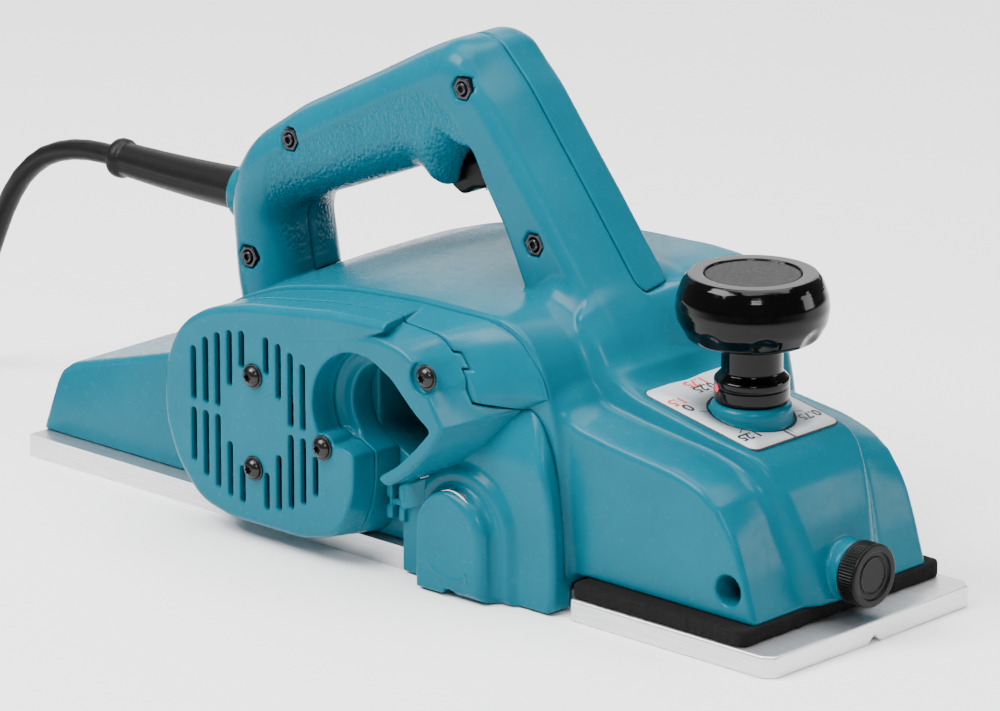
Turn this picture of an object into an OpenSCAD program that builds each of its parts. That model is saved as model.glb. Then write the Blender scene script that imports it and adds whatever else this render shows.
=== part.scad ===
// Portable electric planer with a two-part sole, closed handle and side chip outlet.
// Frame: +X forward, +Y to the operator's left, +Z up; the origin is the middle of the sole's underside.

/* [Sole] */
// Length of the whole sole
sole_length = 370; // [350:1:390]
// Width of the sole
sole_width = 110; // [108:1:112]
// Thickness of the rear sole plate
rear_plate = 8.7; // [8:0.1:9]
// Thickness of the front shoe plate
shoe_plate = 8.1; // [7.5:0.1:8.4]
// Deepest cut that the front shoe allows
depth_max = 2; // [0.5:0.1:2]
// Width of the chamfering groove under the front shoe
groove_width = 7; // [5:1:10]

/* [Cutter drum] */
// Distance of the drum axis in front of the sole's middle
drum_x = 44; // [43:0.5:45]
// Radius of the circle that the blade tips run on
cut_radius = 29; // [28:0.5:29.5]
// Radius of the drum body
drum_radius = 27.3; // [26:0.1:27.5]
// Length of the drum body
drum_length = 107; // [104:1:107]
// Length of each blade
blade_length = 109; // [106:1:109]

/* [Motor] */
// Distance of the motor axis behind the sole's middle
motor_back = 47; // [46:0.5:48]
// Height of the motor axis above the sole
motor_z = 48; // [47.5:0.5:49]
// Radius of the motor's bore in the housing
motor_bore = 37.2; // [37:0.1:37.6]
// Radius of the motor pulley
motor_pulley_r = 12; // [11:0.5:12]
// Radius of the drum pulley
drum_pulley_r = 17; // [16:0.5:17]

/* [Handle] */
// Half of the handle's width
handle_half = 22; // [20:0.5:23]
// Thickness of the handle shell
handle_wall = 6; // [5:0.5:7]

/* [Depth knob] */
// Distance of the knob axis in front of the sole's middle
knob_x = 127.5; // [126:0.5:129]
// Radius of the knob's bulb
knob_radius = 27.2; // [26:0.1:28]
// Height of the underside of the knob collar
knob_base_z = 77; // [76.8:0.1:78]
// Height of the top of the knob
knob_top_z = 123; // [121:0.5:125]

/* [Guide rule clamp] */
// Distance of the guide rule hole in front of the sole's middle
guide_x = 158; // [157:0.5:158]
// Height of the guide rule hole
guide_z = 24.5; // [24:0.5:26]
// Radius of the guide rule hole
guide_bore = 5.5; // [5:0.1:5.5]

/* [Cord] */
// Diameter of the mains cord
cord_d = 8; // [7.5:0.5:8]
// Radius of the coil's outermost turn
coil_outer_turn = 61; // [60:1:62]
// Number of turns in each of the coil's two layers
coil_turns = 3.25; // [3.25:1:3.25]

/* [Hidden] */
$fn = 64;

// Sole
sole_half = sole_length / 2;
side_y = sole_width / 2;
drum_z = cut_radius + 0.1;
mouth_radius = cut_radius + 2;
shoe_mouth_radius = cut_radius + 2.8;
seal_front_x = sole_half - 13;
seal_back_x = 93;
seal_top_z = 14.1;
seal_band = 5;

// Housing
body_bottom_z = seal_top_z + 0.1;
body_half = 47;
hump_right_y = -50;
hump_left_y = 64;
chamber_end_y = 56;
ridge_half = 28;
drum_room = cut_radius + 3.5;
motor_x = -motor_back;

// Right side stack, from the hump outwards
bracket_y = -62;
cover_y = -73;
guard_y = -57.5;
bulge_y = -67;
bulge_radius = 16.2;

// Left side stack
belt_cover_y = 86;
belt_y0 = 70;
belt_y1 = 79;
bearing_wall_y = 50;

// Handle
guard_z = 105;
trigger_travel = 5;
button_travel = 4;
grip_angle = 23;

// Depth knob
collar_radius = 13.4;
pointer_angle = 245;
neck_radius = 11;
boss_radius = 14.7;
screw_radius = 5;
fit = 0.05;

// Cord
coil_x = -312;
coil_y = -56;
coil_inner_turn = coil_outer_turn - coil_turns * cord_d;
plug_x = -272;
plug_y = coil_y - coil_outer_turn;
lead_route = [
    [-192, 0, 105], [-200, 0, 105], [-208, 0, 104.6], [-216, 0, 103.4], [-224, 0, 101.2], [-232, 0, 97.8],
    [-239, 0, 93], [-245.5, 0, 87], [-251, 0, 79.8], [-256, 0.2, 71.8], [-260.5, 0.5, 63.2],
    [-265, 1, 54.4], [-269.5, 1.6, 45.6], [-274.3, 2.2, 37], [-279.6, 2.8, 28.8], [-285.6, 3.4, 21],
    [-292, 4, 14.2], [-299, 4.5, 8.8], [-305.4, 4.8, 5.6], [-312, 5, 4]
];
tail_route = [
    [-312, -117, 12], [-302, -117, 12], [-292, -117, 12.5], [-282, -117, 13], [-272, -117, 13]
];

// Outlines in the X-Z plane
hump_outline = [
    [-95, 9], [-95, 66], [-91, 77], [-80, 84.5], [-60, 92.5], [-35, 98.8], [-10, 102.3], [15, 103.5], [56, 103],
    [65, 99], [73, 91], [78, 82], [81, 72], [85, 60], [85, 14.2], [70, 14.2], [70, 30], [20, 30], [20, 9]
];
hump_front_right = [
    [15, 30], [15, 103], [56, 102.5], [65, 98.5], [72, 90.5], [77, 82], [80, 72], [84, 60], [84, 30]
];
hump_front_left = [[15, 30], [15, 105], [50, 107.5], [75, 107], [85, 97], [95, 77], [98, 64], [99, 30]];
shoulder_outline = [
    [84, 14.2], [84, 71], [92, 68.5], [132, 63], [145, 60], [152, 55], [156, 47], [162, 31], [168, 14.2]
];
ridge_outline = [
    [80, 30], [80, 88], [88, 81], [96.5, 77.5], [149, 67.5], [157, 63.5], [162, 57], [167, 42], [172, 25],
    [172, 14.2], [150, 14.2]
];
rear_outline = [
    [-184, 8.8], [-178.5, 30], [-176, 34.5], [-170, 38.5], [-121, 52], [-90, 61], [-90, 8.8]
];
handle_outline = [
    [-112, 60], [-114, 78], [-115, 108], [-113, 120], [-106, 130], [-95, 138], [-79, 148.5], [-43, 167],
    [-15, 181], [-6, 185.5], [2, 187.5], [10, 185], [22, 171.5], [38, 152], [52, 134], [62, 119], [70, 106],
    [78, 93], [84, 83], [84, 70], [20, 64], [-60, 58]
];
gap_outline = [
    [-84, 60], [-89, 92], [-91, 102], [-88, 107], [-60, 119], [-14, 138.5], [-10, 133], [-5, 131],
    [0, 133], [2, 140], [8, 146], [14, 146], [29, 123.5], [40, 98], [40, 60]
];
switch_at = [-3, 0, 147];
button_x = -14;
button_z = 154;
hood_outline = [[44, 97.5], [52, 92], [57, 84], [59, 74], [46.5, 63]];
hood_base_outline = [[44, 98], [62, 98], [70, 91], [77, 78], [65, 71.4], [46.5, 63]];
bracket_outline = [
    [-47, 8.8], [-47, 94.2], [-30, 95.5], [-8, 98], [26, 100], [44, 97.5], [52, 92], [57, 84], [59, 74],
    [46.5, 63], [30, 44], [16, 37], [8, 40], [-1, 40]
];
outlet_outline = [[5, 40], [-10, 46], [10, 80], [18, 79], [33, 67], [40.3, 63], [33, 54.4], [24, 45.5], [15, 40]];
duct_outline = [[12, 40], [-6, 49], [-6, 76], [2, 84], [22, 83], [36, 66], [34, 50]];
guard_outline = [
    [12.5, 1], [12.5, 30], [30, 45], [46, 51], [56, 58], [65, 71], [78, 71], [80, 50], [83, 1]
];

screw_points = [[-47, 65], [-47, 30], [-12, 45.5], [37.7, 82]];
handle_bolts = [[8, 172], [-79, 137], [43, 121], [-101, 88]];
belt_screw_points = [[-74, 77], [-74, 19], [8, 80], [78, 29.5]];
sole_screw_points = [[-165, 32], [-165, -32], [-100, 32], [-100, -32]];
brush_angles = [0, 180];
race_wall = 2.2;
slot_pitch = 6.2;
slot_width = 2.7;

// Solid with an X-Z outline between two Y values
module slab(points, y0, y1) {
    translate([0, y1, 0]) rotate([90, 0, 0]) linear_extrude(y1 - y0) polygon(points);
}

// Round bar along Y
module y_rod(x, z, r, y0, y1) {
    translate([x, y1, z]) rotate([90, 0, 0]) cylinder(r = r, h = y1 - y0);
}

// Round bar along X
module x_rod(y, z, r, x0, x1) {
    translate([x0, y, z]) rotate([0, 90, 0]) cylinder(r = r, h = x1 - x0);
}

// Round bar along Z
module z_rod(x, y, r, z0, z1) {
    translate([x, y, z0]) cylinder(r = r, h = z1 - z0);
}

// Block between two corners
module block(a, b) {
    translate(a) cube(b - a);
}

// Ring along Y
module y_ring(x, z, r_out, r_in, y0, y1) {
    difference() {
        y_rod(x, z, r_out, y0, y1);
        y_rod(x, z, r_in, y0 - 1, y1 + 1);
    }
}

// Hexagonal bar along Y
module y_hex(x, z, r, y0, y1) {
    translate([x, y1, z]) rotate([90, 0, 0]) cylinder(r = r, h = y1 - y0, $fn = 6);
}

// Aluminium plate behind the drum, cut away round the blades
module rear_sole() {
    color("gainsboro") difference() {
        block([-sole_half, -side_y, 0], [38, side_y, rear_plate]);
        y_rod(drum_x, drum_z, mouth_radius, -side_y - 1, side_y + 1);
        for (p = sole_screw_points) z_rod(p[0], p[1], 2.6, -1, rear_plate + 1);
        for (p = sole_screw_points) z_rod(p[0], p[1], 5, -1, 4);
    }
}

// Aluminium shoe in front of the drum, with the nut tower for the depth screw
module front_shoe() {
    color("gainsboro") difference() {
        union() {
            linear_extrude(shoe_plate) polygon([
                [54, -side_y], [sole_half - 5, -side_y], [sole_half, -side_y + 3], [sole_half + 0.5, 0],
                [sole_half, side_y - 3], [sole_half - 5, side_y], [54, side_y]
            ]);
            z_rod(knob_x, 0, 10, shoe_plate, 36);
            for (s = [-1, 1]) block([knob_x - 24, s * 9 - 2, shoe_plate], [knob_x, s * 9 + 2, 20]);
        }
        y_rod(drum_x, drum_z, shoe_mouth_radius, -side_y - 1, side_y + 1);
        z_rod(knob_x, 0, screw_radius + fit, 12, 40);
        rotate([90, 0, 90]) linear_extrude(sole_half + 10)
            polygon([[-groove_width / 2, -0.01], [groove_width / 2, -0.01], [0, 3]]);
    }
}

// Foam strip between shoe and housing
module foam_seal() {
    color("#1c1c1c") difference() {
        block([seal_back_x, -side_y + 0.5, shoe_plate + 0.05], [seal_front_x, side_y - 0.5, seal_top_z]);
        block([seal_back_x + seal_band, -side_y + 0.5 + 2 * seal_band, 0],
              [seal_front_x - 2 * seal_band, side_y - 0.5 - 2 * seal_band, 20]);
        for (s = [-1, 1]) z_rod(104, s * 32, 9, 0, 20);
    }
}

// Hump over the drum and the motor: its front leans forwards and rises towards the left
module hump_solid() {
    slab(hump_outline, hump_right_y, hump_left_y);
    hull() {
        slab(hump_front_right, hump_right_y, hump_right_y + 0.1);
        slab(hump_front_left, hump_left_y - 0.1, hump_left_y);
    }
    block([70, 20, body_bottom_z], [97, hump_left_y, 31]);
}

// Teal moulding: hump over the drum, motor barrel, front and rear bodies and the right half of the handle
module main_housing() {
    color("#0795ad") difference() {
        union() {
            difference() {
                union() {
                    hump_solid();
                    slab(shoulder_outline, -body_half, body_half);
                    slab(ridge_outline, -ridge_half, ridge_half);
                    slab(rear_outline, -body_half, body_half);
                    handle_half_solid(-1);
                }
                rear_room();
                front_room();
                handle_room();
                y_rod(drum_x, drum_z, drum_room, hump_right_y - 1, chamber_end_y);
                y_rod(motor_x, motor_z, motor_bore, hump_right_y - 1, bearing_wall_y);
                slab(duct_outline, hump_right_y - 1, 40);
            }
            for (b = handle_bolts) y_rod(b[0], b[1], 6.5, -handle_half + 1, 0);
            z_rod(knob_x, 0, boss_radius, 55, knob_base_z - 0.3);
            x_rod(0, guide_z, 10, guide_x + 7, 176);
            for (s = [-1, 1]) z_rod(104, s * 32, 10, body_bottom_z, 55);
            difference() {
                x_rod(0, guard_z, 11.5, -122, -108);
                x_rod(0, guard_z, 40, -111, -100);
            }
        }
        y_rod(guide_x, guide_z, guide_bore, -body_half - 1, body_half + 1);
        x_rod(0, guide_z, 4 + fit, guide_x, 180);
        z_rod(knob_x, 0, 7 + fit, 50, 80);
        for (s = [-1, 1]) {
            z_rod(104, s * 32, 4 + fit, 10, 50);
            z_rod(104, s * 32, 7.6, 10, 28);
        }
        y_rod(motor_x, motor_z, 11, bearing_wall_y - 1, bearing_wall_y + 7);
        y_rod(motor_x, motor_z, 6.5, bearing_wall_y - 1, hump_left_y + 1);
        y_rod(drum_x, drum_z, 13, chamber_end_y - 1, hump_left_y + 1);
        for (b = handle_bolts) {
            y_hex(b[0], b[1], 4.6, -handle_half - 1, -handle_half + 4);
            y_rod(b[0], b[1], 2.2, -handle_half, 1);
        }
        for (p = belt_screw_points) y_rod(p[0], p[1], 2.05, hump_left_y - 9, hump_left_y + 1);
        for (p = sole_screw_points) z_rod(p[0], p[1], 2.6, 0, 10);
        guard_seat();
        switch_room();
        for (a = brush_angles) translate([motor_x, 19, motor_z]) rotate([0, a, 0]) x_rod(0, 0, 5.6, 30, 38);
    }
}

// One half of the handle with its edges bevelled, before it is hollowed: side is -1 right, 1 left
module handle_half_solid(side) {
    near = side < 0 ? -12 : 0.05;
    difference() {
        hull() {
            slab(handle_outline, near, near + 11.95);
            translate([0, side < 0 ? 0 : handle_half, 0]) rotate([90, 0, 0])
                linear_extrude(handle_half) offset(delta = -6) polygon(handle_outline);
        }
        slab(gap_outline, -handle_half - 1, handle_half + 1);
    }
}

// Seat of the cord guard, cut half into each side of the handle
module guard_seat() {
    x_rod(0, guard_z, 7.5, -130, -100);
    x_rod(0, guard_z, 9.7, -110.8, -107.8);
}

// Space for the switch and for the trigger's travel
module switch_room() {
    translate(switch_at) rotate([0, -grip_angle, 0]) {
        block([-16.5, -12, 0], [8.5, 10, 18]);
        block([-14, -8, -26], [7, 8, 1]);
    }
}

// Hollow of the rear body
module rear_room() {
    slab([[-176, 12], [-172, 30], [-168, 34.5], [-121, 47.5], [-98, 54], [-98, 12]], -body_half + 3.5, body_half - 3.5);
}

// Hollow of the front body, open below to the shoe
module front_room() {
    slab([[91, 0], [91, 66], [98, 63], [132, 58], [144, 54], [148, 44], [148, 0]], -body_half + 4, body_half - 4);
}

// Hollow of the handle for the switch and wires
module handle_room() {
    slab([
        [-109, 80], [-110, 108], [-103, 124], [-78, 141], [-14, 174], [2, 181], [8, 178], [34, 146], [48, 127],
        [56, 112], [48, 108], [36, 125], [22, 150], [12, 158], [-10, 147], [-62, 124], [-86, 113], [-96, 104], [-95, 80]
    ], -handle_half + handle_wall, handle_half - handle_wall);
}

// Left half of the handle, standing on the hump
module handle_cover() {
    color("#0795ad") difference() {
        union() {
            difference() {
                handle_half_solid(1);
                handle_room();
                hump_solid();
                slab([[-200, 0], [120, 0], [120, 72], [-200, 72]], -1, handle_half + 1);
                slab([[60, 0], [120, 0], [120, 100], [88, 112], [70, 104]], -1, handle_half + 1);
            }
            for (b = handle_bolts) y_rod(b[0], b[1], 6.5, 0.05, handle_half - 1);
        }
        for (b = handle_bolts) {
            y_rod(b[0], b[1], 2.2, -1, handle_half + 1);
            y_rod(b[0], b[1], 4.4, handle_half - 4, handle_half + 1);
        }
        guard_seat();
        x_rod(0, guard_z, 11.8, -130, -110.9);
        switch_room();
        y_rod(button_x, button_z, 5 + fit, 9, handle_half + 1);
    }
}

// Teal ring round the fan, with the right motor bearing on spokes and the inner wall of the chip duct
module side_bracket() {
    color("#0795ad") difference() {
        union() {
            difference() {
                union() {
                    y_rod(motor_x, motor_z, 39.5, bracket_y, hump_right_y);
                    slab(bracket_outline, bracket_y, hump_right_y);
                    hull() {
                        slab(hood_outline, bracket_y, bracket_y + 0.1);
                        slab(hood_base_outline, hump_right_y - 0.1, hump_right_y);
                    }
                }
                y_rod(motor_x, motor_z, 36.5, bracket_y - 1, hump_right_y + 1);
                slab(outlet_outline, bracket_y - 1, hump_right_y + 1);
                y_rod(5, 61.5, 22.4, bracket_y - 1, hump_right_y + 1);
            }
            for (a = [30, 150, 270]) translate([motor_x, 0, motor_z]) rotate([0, a, 0])
                block([8, bracket_y, -3], [38, bracket_y + 4, 3]);
            y_rod(motor_x, motor_z, 14, bracket_y, bracket_y + 9);
        }
        y_rod(motor_x, motor_z, 11, bracket_y - 1, bracket_y + 10);
        for (p = screw_points) y_rod(p[0], p[1], 1.8, bracket_y - 1, bracket_y + 9);
        y_rod(drum_x, drum_z, drum_room, bracket_y - 1, hump_right_y + 1);
        block([-sole_half, bracket_y - 1, 0], [drum_x, hump_right_y + 1, rear_plate + 0.05]);
    }
}

// Vented cover with the chip outlet
module chip_cover() {
    color("#0795ad") difference() {
        union() {
            y_rod(motor_x, motor_z, 41, cover_y, bracket_y - 0.1);
            slab(cover_face_outline(), cover_y, bracket_y - 0.1);
        }
        y_rod(motor_x, motor_z, 36, cover_y + 3, bracket_y + 1);
        slab(outlet_outline, cover_y - 1, bracket_y + 1);
        y_rod(5, 61.5, 22.4, cover_y - 1, bracket_y + 1);
        for (p = screw_points) y_rod(p[0], p[1], 2.2, cover_y - 1, bracket_y + 1);
        vent_slots();
    }
}

// Outline of the cover face: rounded behind the motor, running out into the chip outlet
function cover_face_outline() = [
    [-76, 12], [-88, 26], [-93.5, 40], [-93.7, 57], [-89, 71], [-82, 79], [-71, 86], [-51, 91], [-8, 97.5],
    [26, 100], [44, 97.5], [52, 92], [57, 84], [59, 74], [46.5, 63], [30, 44], [16, 37], [8, 40], [-1, 40],
    [3, 47], [3.4, 37], [-0.5, 23], [-9, 12.5], [-24, 8.3], [-60, 8.8]
];

// Upright cooling slots in two rows round a plain middle, shorter towards the sides
module vent_slots() {
    for (i = [-5 : 5]) for (row = [-1, 1]) {
        reach = 33 * sqrt(1 - pow(slot_pitch * i / 41.6, 2));
        start = abs(i) == 1 ? 18.5 : (abs(i) == 2 ? 10.5 : 1.4);
        x = motor_x + slot_pitch * i;
        if (i != 0 && !(i == 5 && row > 0))
            block([x - slot_width / 2, cover_y - 1, motor_z + (row > 0 ? start : -reach)],
                  [x + slot_width / 2, cover_y + 4, motor_z + (row > 0 ? reach : (i == 5 ? -7 : -start))]);
    }
}

// Side guard over the drum end, with the bearing bulge and the two latch posts
module drum_guard() {
    color("#0795ad") difference() {
        union() {
            slab(guard_outline, guard_y, hump_right_y - 0.1);
            y_rod(drum_x, 23, bulge_radius, bulge_y, guard_y + 0.5);
            block([drum_x - bulge_radius, bulge_y, 1], [drum_x + bulge_radius, guard_y + 0.5, 23]);
            for (x = [6, 12]) {
                block([x, guard_y - 2, 20], [x + 3, guard_y + 2, 25]);
                block([x, guard_y - 2, 28], [x + 3, guard_y + 2, 33]);
                block([x + 1, guard_y - 1, 20], [x + 2.5, guard_y + 2, 33]);
            }
            block([6, guard_y - 1, 25], [14, guard_y + 2, 27]);
        }
        y_rod(drum_x, drum_z, drum_room, -55.6, hump_right_y + 1);
        y_rod(drum_x, drum_z, 11, bulge_y + 1.8, -50);
        y_rod(44, 0, 3, bulge_y - 1, guard_y + 1);
        block([0, -side_y - 0.4, 0], [50, hump_right_y + 1, rear_plate + 0.05]);
        block([50, -side_y - 0.4, 0], [90, hump_right_y + 1, shoe_plate + depth_max + 0.6]);
    }
}

// Cover over the belt and pulleys on the left side
module belt_cover() {
    color("#0795ad") difference() {
        union() {
            y_rod(motor_x, motor_z, 34, hump_left_y + 0.1, belt_cover_y);
            y_rod(drum_x, drum_z + 1, 28, hump_left_y + 0.1, belt_cover_y);
            slab([[motor_x + 7, motor_z + 33.2], [drum_x + 6, drum_z + 28.4], [drum_x, 3], [motor_x, 14.1]],
                 hump_left_y + 0.1, belt_cover_y);
            for (p = belt_screw_points) y_rod(p[0], p[1], 6, hump_left_y + 0.1, hump_left_y + 8);
        }
        y_rod(motor_x, motor_z, 31, hump_left_y - 1, belt_cover_y - 3);
        y_rod(drum_x, drum_z + 1, 25, hump_left_y - 1, belt_cover_y - 3);
        slab([[motor_x + 7, motor_z + 29], [drum_x + 6, drum_z + 24], [drum_x, 7], [motor_x, 17.4]],
             hump_left_y - 1, belt_cover_y - 3);
        for (p = belt_screw_points) y_rod(p[0], p[1], 2.2, hump_left_y - 1, belt_cover_y);
    }
}

// Sheet with the depth graduations, bonded to the sloping top of the ridge
module scale_plate() {
    color("#c9d3d6") translate([96.5, 0, 77.6]) rotate([0, 10.8, 0]) difference() {
        block([0.5, -23, 0], [53.5, 23, 0.8]);
        z_rod(31.7, 0, 16, -5, 5);
    }
}

// Two small countersunk screws beside the knob that hold the scale plate
module scale_screws() {
    color("silver") translate([96.5, 0, 77.6]) rotate([0, 10.8, 0])
        for (s = [-1, 1]) z_rod(49.5, s * 19, 1.6, 0.85, 1.5);
}

// Ball knob with waisted neck and flared collar
module depth_knob() {
    color("#0c0c0e") translate([knob_x, 0, 0]) difference() {
        rotate_extrude() polygon([
            [screw_radius + fit, knob_base_z], [collar_radius, knob_base_z], [collar_radius, 81], [12.4, 83],
            [12.4, 84.5], [13, 86], [12, 88], [neck_radius, 89], [neck_radius, 98], [16, 98.5], [22, 101],
            [25.8, 105], [knob_radius, 110], [knob_radius, 113], [26, 118], [24.5, 121.5], [22.4, knob_top_z],
            [17.4, knob_top_z], [17.4, knob_top_z - 1.6], [screw_radius + fit, knob_top_z - 1.6]
        ]);
        rotate([0, 0, pointer_angle]) translate([collar_radius - 1.5, 0, 82.6]) rotate([0, 90, 0]) cylinder(r = 1.6, h = 6);
    }
}

// Disc that closes the top of the knob
module knob_cap() {
    color("#1a1a1c") z_rod(knob_x, 0, 17.2, knob_top_z - 1.55, knob_top_z - 0.7);
}

// Red dot on the collar that reads against the scale
module pointer_dot() {
    color("#e0202c") translate([knob_x, 0, 0]) rotate([0, 0, pointer_angle])
        translate([collar_radius - 1.4, 0, 82.6]) rotate([0, 90, 0]) cylinder(r = 1.5, h = 1.6);
}

// Steel screw that draws the shoe up, turning with the knob
module depth_screw() {
    color("silver") union() {
        z_rod(knob_x, 0, screw_radius, 14, knob_top_z - 1.7);
        z_rod(knob_x, 0, 7, 54, knob_base_z - 0.05);
    }
}

// Two steel pins that keep the shoe square to the housing
module shoe_pins() {
    color("silver") for (s = [-1, 1]) z_rod(104, s * 32, 4, shoe_plate, 42);
}

// Compression spring round one shoe pin
module shoe_spring(side) {
    color("dimgray") difference() {
        z_rod(104, side * 32, 6.6, shoe_plate, 27.9);
        z_rod(104, side * 32, 5, shoe_plate - 1, 30);
    }
}

module shoe_spring_right() { shoe_spring(-1); }

module shoe_spring_left() { shoe_spring(1); }

// Knurled thumb knob that clamps the guide rule
module guide_knob() {
    color("#141416") difference() {
        union() {
            x_rod(0, guide_z, 11, 177, 185);
            for (i = [0 : 35]) translate([177.4, 0, guide_z]) rotate([i * 10, 0, 0])
                translate([0, 10.7, -0.5]) cube([7.2, 0.9, 1]);
        }
        x_rod(0, guide_z, 8, 183.4, 186);
        x_rod(0, guide_z, 4 + fit, 176, 182);
    }
}

// Steel screw behind the thumb knob
module guide_screw() {
    color("silver") x_rod(0, guide_z, 4, guide_x + guide_bore + 1, 182);
}

// Two-blade drum on its shaft
module cutter_drum() {
    color("#8a8f94") difference() {
        union() {
            y_rod(drum_x, drum_z, drum_radius, -drum_length / 2, drum_length / 2);
            y_rod(drum_x, drum_z, 5, bulge_y + 3, belt_y1 + 2);
            y_rod(drum_x, drum_z, 8, -56.5, chamber_end_y);
        }
        for (s = [0, 1]) blade_frame(s) block([13, -60, -3.2], [40, 60, 8.5]);
    }
}

// Places children in the frame of one blade: X radial, Z along the rotation
module blade_frame(s) {
    translate([drum_x, 0, drum_z]) rotate([0, 180 * s, 0]) children();
}

// Two straight blades, ground to an edge
module blades() {
    color("#d8dcdf") for (s = [0, 1]) blade_frame(s)
        slab([[15, -3], [cut_radius - 1.6, -3], [cut_radius - 0.2, -0.6], [15, -0.6]], -blade_length / 2, blade_length / 2);
}

// Wedge plates that hold the blades
module blade_clamps() {
    color("#5f656b") for (s = [0, 1]) blade_frame(s)
        slab([[15, -0.4], [25.5, -0.4], [24.5, 5.5], [19, 8], [15, 8]], -drum_length / 2, drum_length / 2);
}

// Three bolts in each clamp
module drum_bolts() {
    color("#2b2b2d") for (s = [0, 1]) blade_frame(s) for (y = [-36, 0, 36])
        translate([25.6, y, 2.7]) rotate([0, 90, 0]) difference() {
            cylinder(r = 2.4, h = 1.3);
            translate([0, 0, 0.3]) cylinder(r = 1.3, h = 3, $fn = 6);
        }
}

// Ball bearing: two rings with a full ring of balls between them
module ball_bearing(x, z, r_out, r_in, y0, y1) {
    mid = (r_out + r_in) / 2;
    ball = (r_out - r_in) / 2 - race_wall - 0.02;
    color("silver") {
        y_ring(x, z, r_out, r_out - race_wall, y0, y1);
        y_ring(x, z, r_in + race_wall, r_in, y0, y1);
        for (i = [0 : 7]) translate([x, (y0 + y1) / 2, z]) rotate([0, i * 45, 0]) translate([mid, 0, 0])
            sphere(r = ball, $fn = 24);
    }
}

// Bearings of the drum, in the guard and in the housing wall
module drum_bearings() {
    ball_bearing(drum_x, drum_z, 10.9, 5 + fit, -65, -58);
    ball_bearing(drum_x, drum_z, 12.9, 5 + fit, chamber_end_y + 1, hump_left_y - 1);
}

// Ribbed pulley on the drum shaft
module drum_pulley() {
    color("#6f7478") difference() {
        y_rod(drum_x, drum_z, drum_pulley_r, belt_y0 - 1, belt_y1 + 1);
        y_rod(drum_x, drum_z, 5 + fit, belt_y0 - 2, belt_y1 + 2);
        for (i = [0 : 3]) y_ring(drum_x, drum_z, drum_pulley_r + 1, drum_pulley_r - 1, belt_y0 + 2 * i + 1, belt_y0 + 2 * i + 2);
    }
}

// Ribbed pulley on the motor shaft
module motor_pulley() {
    color("#6f7478") difference() {
        y_rod(motor_x, motor_z, motor_pulley_r, belt_y0 - 1, belt_y1 + 1);
        y_rod(motor_x, motor_z, 4 + fit, belt_y0 - 2, belt_y1 + 2);
        for (i = [0 : 3]) y_ring(motor_x, motor_z, motor_pulley_r + 1, motor_pulley_r - 1, belt_y0 + 2 * i + 1, belt_y0 + 2 * i + 2);
    }
}

// Points of the belt's line at a height above both pulleys, in the frame of the line between them
function belt_line(lift, reach, swing) = concat(
    [for (i = [0 : 24]) let (a = 90 + swing + (180 - 2 * swing) * i / 24)
        (motor_pulley_r + lift) * [cos(a), sin(a)]],
    [for (i = [0 : 24]) let (a = 270 - swing + (180 + 2 * swing) * i / 24)
        [reach, 0] + (drum_pulley_r + lift) * [cos(a), sin(a)]]
);

// Ribbed belt round both pulleys
module drive_belt() {
    span = [drum_x - motor_x, drum_z - motor_z];
    reach = norm(span);
    swing = asin((drum_pulley_r - motor_pulley_r) / reach);
    color("#101012") translate([motor_x, 0, motor_z]) rotate([0, -atan2(span[1], span[0]), 0]) difference() {
        slab(belt_line(2.6, reach, swing), belt_y0, belt_y1);
        slab(belt_line(0.3, reach, swing), belt_y0 - 1, belt_y1 + 1);
    }
}

// Motor shaft, stepped for the bearings and the pulley
module armature_shaft() {
    color("silver") union() {
        y_rod(motor_x, motor_z, 4, -61, belt_y1 + 2);
        y_rod(motor_x, motor_z, 6, -50, 48);
    }
}

// Laminated core with slots
module armature_core() {
    color("#7d8084") difference() {
        y_rod(motor_x, motor_z, 21, -32, 2);
        y_rod(motor_x, motor_z, 6 + fit, -33, 3);
        for (i = [0 : 11]) translate([motor_x, 0, motor_z]) rotate([0, i * 30, 0])
            block([13, -33, -1.6], [22, 3, 1.6]);
    }
}

// Copper end turns on both ends of the core
module armature_winding() {
    color("#b8692e") {
        y_ring(motor_x, motor_z, 18, 6 + fit, -38, -32.05);
        y_ring(motor_x, motor_z, 18, 6 + fit, 2.05, 9);
    }
}

// Commutator with its copper bars
module commutator() {
    color("#c27a3a") difference() {
        y_rod(motor_x, motor_z, 13, 12, 26);
        y_rod(motor_x, motor_z, 6 + fit, 11, 27);
        for (i = [0 : 23]) translate([motor_x, 0, motor_z]) rotate([0, i * 15, 0])
            block([12.2, 11, -0.3], [14, 27, 0.3]);
    }
}

// Radial fan behind the vented cover
module cooling_fan() {
    color("#2a2c2e") difference() {
        union() {
            y_rod(motor_x, motor_z, 33, -43, -41.5);
            y_rod(motor_x, motor_z, 9, -49, -41.5);
            for (i = [0 : 11]) translate([motor_x, 0, motor_z]) rotate([0, i * 30, 0])
                block([10, -49.5, -0.8], [32.5, -43, 0.8]);
        }
        y_rod(motor_x, motor_z, 6 + fit, -52, -40);
    }
}

// Bearings of the motor shaft
module motor_bearings() {
    ball_bearing(motor_x, motor_z, 10.9, 4 + fit, -60.5, -54);
    ball_bearing(motor_x, motor_z, 10.9, 4 + fit, bearing_wall_y, bearing_wall_y + 6.5);
}

// Laminated stator with two pole shoes
module stator() {
    color("#8b9094") difference() {
        y_rod(motor_x, motor_z, motor_bore - 0.2, -32, 2);
        y_rod(motor_x, motor_z, 21.6, -33, 3);
        for (a = [0, 180]) translate([motor_x, 0, motor_z]) rotate([0, a, 0])
            block([15, -33, -21], [31.5, 3, 21]);
    }
}

// Field coils in the gaps of the stator
module field_coils() {
    color("#a85c24") for (a = [0, 180]) translate([motor_x, 0, motor_z]) rotate([0, a, 0]) difference() {
        block([22.4, -38, -20], [31, 8, 20]);
        block([20, -33, -14], [32, 3, 14]);
    }
}

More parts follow.
